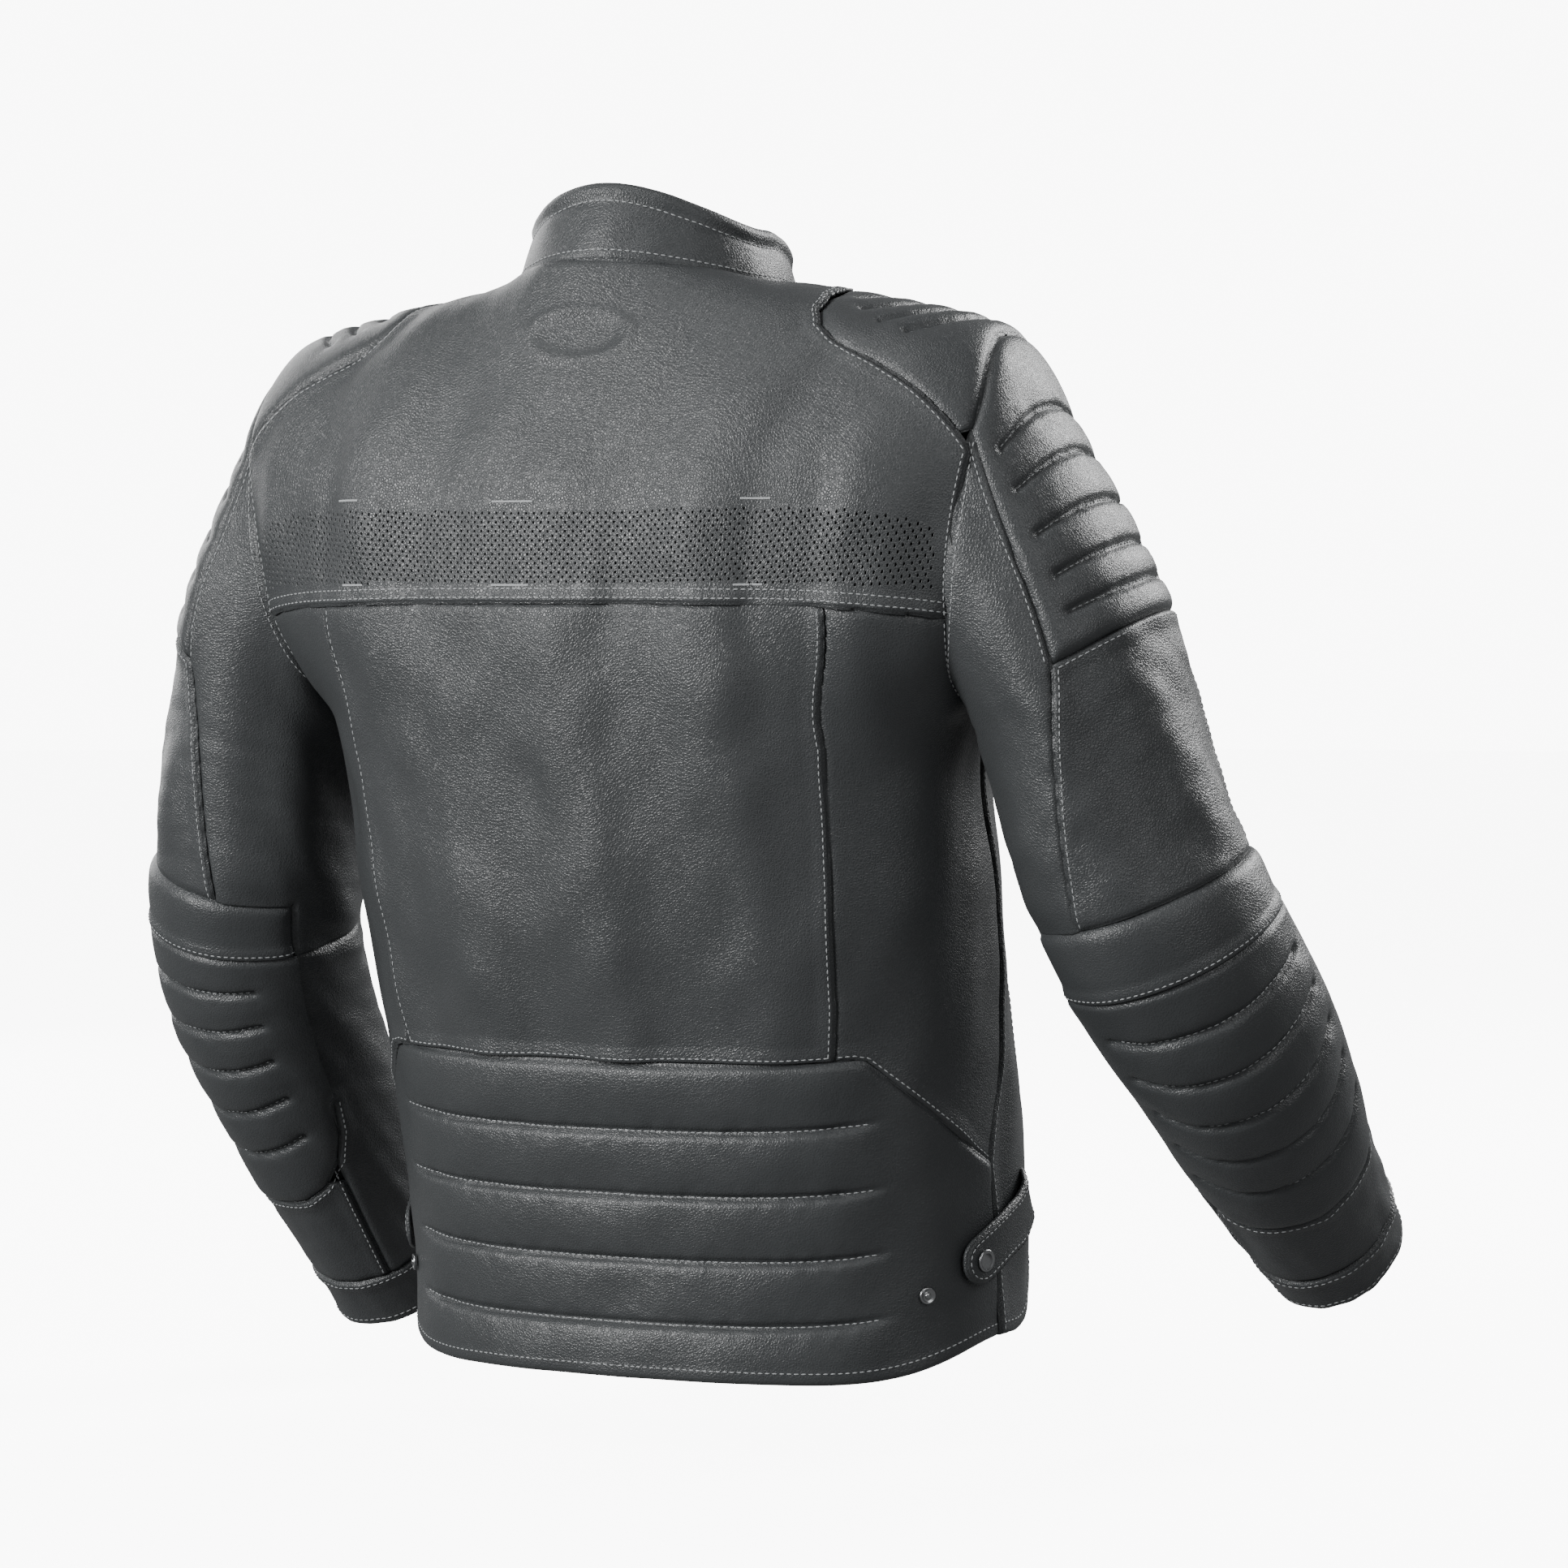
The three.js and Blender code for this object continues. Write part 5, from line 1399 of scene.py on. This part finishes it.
def turned(name, profile, form, spot, height, finish):
    bm = bmesh.new()
    line = [bm.verts.new((r, 0, z)) for r, z in profile]
    edges = [bm.edges.new(pair) for pair in zip(line[:-1], line[1:])]
    bmesh.ops.spin(bm, geom=line + edges, cent=(0, 0, 0), axis=(0, 0, 1), angle=math.tau, steps=32,
                   use_merge=True)
    bmesh.ops.remove_doubles(bm, verts=bm.verts, dist=0.001)
    bmesh.ops.recalc_face_normals(bm, faces=bm.faces)
    u, v = np.array([spot[0]]), np.array([spot[1]])
    out = slopes(form, u, v)[2][0]
    place = laid(form, u, v, np.array([height]))[0]
    turn = Vector(out).to_track_quat("Z", "Y").to_matrix().to_4x4()
    bmesh.ops.transform(bm, matrix=Matrix.Translation(place) @ turn @ Matrix.Scale(0.001, 4), verts=bm.verts)
    mesh = bpy.data.meshes.new(name)
    bm.to_mesh(mesh)
    bm.free()
    mesh.shade_smooth()
    mesh.materials.append(finish)
    piece = bpy.data.objects.new(name, mesh)
    bpy.context.scene.collection.objects.link(piece)
    face_out(mesh)
    return piece


STUD_SPOT, STUD_PROUD, CAP_PROUD = (61, 0.075), 1.0, 0.1
stud_seat = float(lumbar_relief(np.array([float(STUD_SPOT[0])]), np.array([STUD_SPOT[1]]))[0])
for word, flip in (("right", lambda line: list(line)), ("left", at_front)):
    cap = turned(f"snap_cap_{word}", CAP_PROFILE, body_form, snap_spots[word],
                 TAB_AT_SNAP + CAP_PROUD, gunmetal)
    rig.ride(cap, f"waist_tab_{word}_body")
    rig.replaces(cap, f"waist_cap_{word}")
    stud = turned(f"snap_stud_{word}", STUD_PROFILE, body_form, flip([STUD_SPOT])[0],
                  stud_seat + STUD_PROUD, gunmetal)
    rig.ride(stud, "jacket_body")
    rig.replaces(stud, f"waist_stud_{word}")
    for piece in (cap, stud):
        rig.slot(piece, "gunmetal")
cap = turned("collar_snap_cap", CAP_PROFILE, collar_form, snap_spots["collar"],
             COLLAR_TAB_AT_SNAP, gunmetal)
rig.ride(cap, "collar_tab_body")
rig.slot(cap, "gunmetal")
print("snaps turned:", 5)

# %% [markdown]
# Zips have woven tapes with a row of teeth between them, a slider and a hanging pull. The frame's own
# slider and pull shapes are right but sharp, so a copy of each is merged and its edges are beveled.

# %% Softened metal and tape
def softened(node_name, width, finish, segments=2):
    source = frame["nodes"][node_name]
    bm = bmesh.new()
    bm.from_mesh(source.data)
    bmesh.ops.remove_doubles(bm, verts=bm.verts, dist=1e-6)
    bmesh.ops.dissolve_limit(bm, angle_limit=math.radians(2), verts=bm.verts, edges=bm.edges)
    sharp = [e for e in bm.edges if e.is_manifold and e.calc_face_angle(0) > math.radians(30)]
    bmesh.ops.bevel(bm, geom=sharp, offset=width / 1000, offset_type="OFFSET", segments=segments, profile=0.5,
                    affect="EDGES", clamp_overlap=True, material=-1)
    mesh = bpy.data.meshes.new(node_name + "_finished")
    bm.to_mesh(mesh)
    bm.free()
    mesh.materials.clear()
    mesh.materials.append(finish)
    mesh.shade_smooth()
    mesh.set_sharp_from_angle(angle=math.radians(50))
    piece = bpy.data.objects.new(mesh.name, mesh)
    bpy.context.scene.collection.objects.link(piece)
    return piece


node_body = {n: body for body, names in frame["record"]["behaviour"]["bodies"].items() for n in names}
for name in sorted(frame["nodes"]):
    if "slider" in name or "pull" in name:
        piece, slot_name = softened(name, 0.35, gunmetal if "pull" in name else dark_metal), "gunmetal"
    elif "zip" in name or name == "hanger_loop":
        piece, slot_name = softened(name, 0.3, tape_finish), "zip_tape"
    else:
        continue
    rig.ride(piece, node_body[name])
    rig.replaces(piece, name)
    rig.slot(piece, slot_name)
print("softened zips and loops")

# %% Zip teeth
def straight_seat(form, start, end, rise):
    """The straight line of a zip over a curved form: its middle, its direction and the way out."""
    a, b = form(*start), form(*end)
    u, v = np.array([(start[0] + end[0]) / 2]), np.array([(start[1] + end[1]) / 2])
    along = (b - a) / np.linalg.norm(b - a)
    across_zip = np.cross(along, slopes(form, u, v)[2][0])
    across_zip /= np.linalg.norm(across_zip)
    out = np.cross(across_zip, along)
    bulge = (form(u, v)[0] - (a + b) / 2) @ out
    return (a + b) / 2 + out * (bulge + rise), along, across_zip, out, float(np.linalg.norm(b - a))


def one_tooth(bm):
    bmesh.ops.create_cube(bm, size=1.0)
    bmesh.ops.bevel(bm, geom=list(bm.edges), offset=0.16, segments=1, profile=0.5, affect="EDGES",
                    material=-1)


tooth = template(one_tooth)


def teeth(name, seat, body, pitch=1.45):
    middle, along, across_zip, out, length = seat
    count = int((length - 8) / pitch)
    run = (np.arange(count) - (count - 1) / 2) * pitch
    side = np.where(np.arange(count) % 2 == 0, 0.75, -0.75)
    here = middle + run[:, None] * along + side[:, None] * across_zip + 1.75 * out
    same = [np.tile(w, (count, 1)) for w in (along, out, (1.05, 3.1, 1.3))]
    piece = gathered(name, tooth, [(here, *same)], dark_metal, smooth=False)
    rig.ride(piece, body)
    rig.slot(piece, "gunmetal")


front_low, front_high = body_form(180.0, 0.012), body_form(180.0, 0.985)
front_along = (front_high - front_low) / np.linalg.norm(front_high - front_low)
front_out = np.array([0, -1.0, 0]) + front_along * front_along[1]
front_out /= np.linalg.norm(front_out)
front_seat = ((front_low + front_high) / 2 - 1.5 * front_out, front_along,
              np.cross(front_along, front_out), front_out, float(np.linalg.norm(front_high - front_low)))
teeth("front_zip_teeth", front_seat, "jacket_body")
for word, flip in (("right", lambda line: list(line)), ("left", at_front)):
    seat = straight_seat(body_form, flip([POCKET_LOW])[0], flip([POCKET_HIGH])[0], -0.2)
    teeth(f"pocket_zip_teeth_{word}", seat, "jacket_body")
    seat = straight_seat(FORMS[word], CUFF_ZIP_LOW, CUFF_ZIP_TOP, 0.2)
    teeth(f"cuff_zip_teeth_{word}", seat, f"forearm_{word}_body")
print("teeth along the front:", int((front_seat[4] - 8) / 1.45))

# %% [markdown]
# Every sewn piece now gets its place in the frame: the solid that it stands for, the body that it moves
# with, and whether it is a sheet or a stuffed pad. Leather that crosses a joint bends between two bodies.

# %% Riding, bending and declaring
PIT = {w: FORMS[w](180.0, sleeve_edge(180)) / 1000 for w in FORMS}
SIDE = {"right": -1, "left": 1}


def arm_blend(word):
    a = PIT[word] + np.array([0, 0, 0.012])
    return dict(start=tuple(a), end=tuple(a + 0.125 * np.array([0.6 * SIDE[word], 0, -0.8])))


def elbow_blend(word):
    a, b = FORMS[word](51.0, ELBOW) / 1000, FORMS[word](231.0, ELBOW) / 1000
    c = (FORMS[word](51.0, ELBOW + 0.1) + FORMS[word](231.0, ELBOW + 0.1)) / 2000
    middle = (a + b) / 2
    way = (c - middle) / np.linalg.norm(c - middle)
    return dict(start=tuple(middle + way * 0.004), end=tuple(middle + way * 0.07))


def place(piece, name):
    word = name.rsplit("_", 1)[-1]
    if name.startswith(("upper_arm_pad", "upper_sleeve", "under_sleeve", "upper_lining")):
        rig.blend(piece, "jacket_body", f"upper_sleeve_{word}_body", **arm_blend(word))
    elif name.startswith(("elbow_pad", "forearm", "lower_lining")):
        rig.blend(piece, f"upper_sleeve_{word}_body", f"forearm_{word}_body", **elbow_blend(word))
    elif name.startswith(("cuff", "elbow_protector")):
        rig.ride(piece, f"forearm_{word}_body")
    elif name.startswith(("elbow_band", "shoulder_protector")):
        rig.ride(piece, f"upper_sleeve_{word}_body")
    elif "tab" in name:
        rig.ride(piece, "collar_tab_body" if name == "collar_tab" else f"waist_tab_{word}_body")
    else:
        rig.ride(piece, "jacket_body")


SLOTS = (("lining", "lining_fabric"), ("protector", "protector_foam"), ("pad", "ribbed_leather"),
         ("lumbar", "ribbed_leather"))
for name, piece in made.items():
    place(piece, name)
    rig.replaces(piece, name)
    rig.slot(piece, next((slot for part, slot in SLOTS if part in name), "leather"))
    if "pad" in name or "protector" in name or "lumbar" in name:
        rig.padded(piece, fill=0.7)
    else:
        area = flat_area(piece.data)
        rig.sheet(piece, flat=(math.sqrt(area), math.sqrt(area)), held="stretched", area=area)
print("placed and declared:", len(made))

# %% Threads become pieces
for group, places in rows_of_thread.items():
    piece = gathered(f"stitches_{group}", thread_end, places, thread_finish)
    word = group.rsplit("_", 1)[-1]
    if group.startswith("upper_sleeve"):
        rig.blend(piece, "jacket_body", f"upper_sleeve_{word}_body", **arm_blend(word))
    elif group.startswith("forearm"):
        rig.blend(piece, f"upper_sleeve_{word}_body", f"forearm_{word}_body", **elbow_blend(word))
    else:
        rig.ride(piece, group)
    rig.slot(piece, "leather")
    print(piece.name, len(piece.data.polygons) // len(thread_end[1]), "stitches")

# %% [markdown]
# What is left of the frame is metal and tape. These solids have the right shape already, so they only
# get finishes.

# %% Finishes for the frame's own metal and tape
for name, solid in frame["nodes"].items():
    if solid.hide_render:
        continue
    metal = any(part in name for part in ("slider", "pull", "cap", "stud"))
    leather = "tab" in name
    finish = gunmetal if metal else hide if leather else tape_finish
    for at in range(max(1, len(solid.material_slots))):
        if solid.material_slots:
            solid.material_slots[at].material = finish
        else:
            solid.data.materials.append(finish)
    print("kept:", name)

# %% [markdown]
# The jacket hangs in the air as if on an unseen stand. The studio is a plain pale floor inside a white
# shell. Both glow only for the camera, so that they stay white and leave the leather to the lamps: one
# large soft box high on the left gives the broad sheen, and weaker ones open up the shaded sides.

# %% Floor and backdrop
WHITE_GLOW, FLOOR_GLOW = 9.0, 8.4


def glowing(name, color, strength):
    finish, tree, shader = new_finish(name, color, 0.9)
    shader.inputs["Emission Color"].default_value = (1, 1, 1, 1)
    shader.inputs["Emission Strength"].default_value = strength
    return finish


def staged(piece, name, finish):
    piece.name = name
    piece.data.materials.append(finish)
    piece.visible_diffuse = piece.visible_glossy = piece.visible_shadow = False
    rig.stage(piece)


bpy.ops.mesh.primitive_plane_add(size=30, location=(0, 0, cad_box[0][2] - 0.03))
staged(bpy.context.object, "studio_floor", glowing("pale_floor", (0.85, 0.85, 0.85), FLOOR_GLOW))
bpy.ops.mesh.primitive_uv_sphere_add(segments=48, ring_count=24, radius=14)
staged(bpy.context.object, "studio_backdrop", glowing("white_backdrop", (0.85, 0.85, 0.85), WHITE_GLOW))

world = bpy.data.worlds.new("studio")
bpy.context.scene.world = world
world.use_nodes = True
world.node_tree.nodes["Background"].inputs["Color"].default_value = (0.93, 0.94, 0.95, 1)
world.node_tree.nodes["Background"].inputs["Strength"].default_value = 0.27


# %% Lamps and camera
def soft_light(name, spot, aim, size, power):
    lamp = bpy.data.lights.new(name, "AREA")
    lamp.energy, lamp.size = power, size
    made_lamp = bpy.data.objects.new(name, lamp)
    made_lamp.location = spot
    made_lamp.rotation_euler = (Vector(aim) - Vector(spot)).to_track_quat("-Z", "Y").to_euler()
    bpy.context.scene.collection.objects.link(made_lamp)


CENTRE = (-0.048, -0.1419, -0.2665)
soft_light("key", (1.6, 2.7, 0.55), CENTRE, 1.2, 165)
soft_light("top", (0.2, 0.9, 2.3), CENTRE, 1.2, 26)
soft_light("side_fill", (-2.4, 1.4, 0.9), CENTRE, 1.5, 24)
soft_light("front_key", (-1.2, -2.6, 1.3), CENTRE, 1.4, 120)
soft_light("front_fill", (2.2, -1.4, 0.6), CENTRE, 1.8, 40)

THETA, RISE, AWAY = math.radians(28), math.radians(2), 3.2
camera = bpy.data.cameras.new("view")
camera.lens, camera.sensor_width = 126.9, 36
viewer = bpy.data.objects.new("view", camera)
viewer.location = Vector(CENTRE) + AWAY * Vector((-math.sin(THETA) * math.cos(RISE),
                                                  math.cos(THETA) * math.cos(RISE), math.sin(RISE)))
viewer.rotation_euler = (Vector(CENTRE) - viewer.location).to_track_quat("-Z", "Y").to_euler()
bpy.context.scene.collection.objects.link(viewer)
bpy.context.scene.camera = viewer
print("camera at", [round(x, 3) for x in viewer.location])

# %% The size, and the end
visual_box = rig.bounds()
with open("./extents.json", "w") as file:
    json.dump({"cad": [list(map(float, p)) for p in cad_box],
               "visual": [list(map(float, p)) for p in visual_box]}, file)
print("CAD box:", cad_box, "visual box:", visual_box)
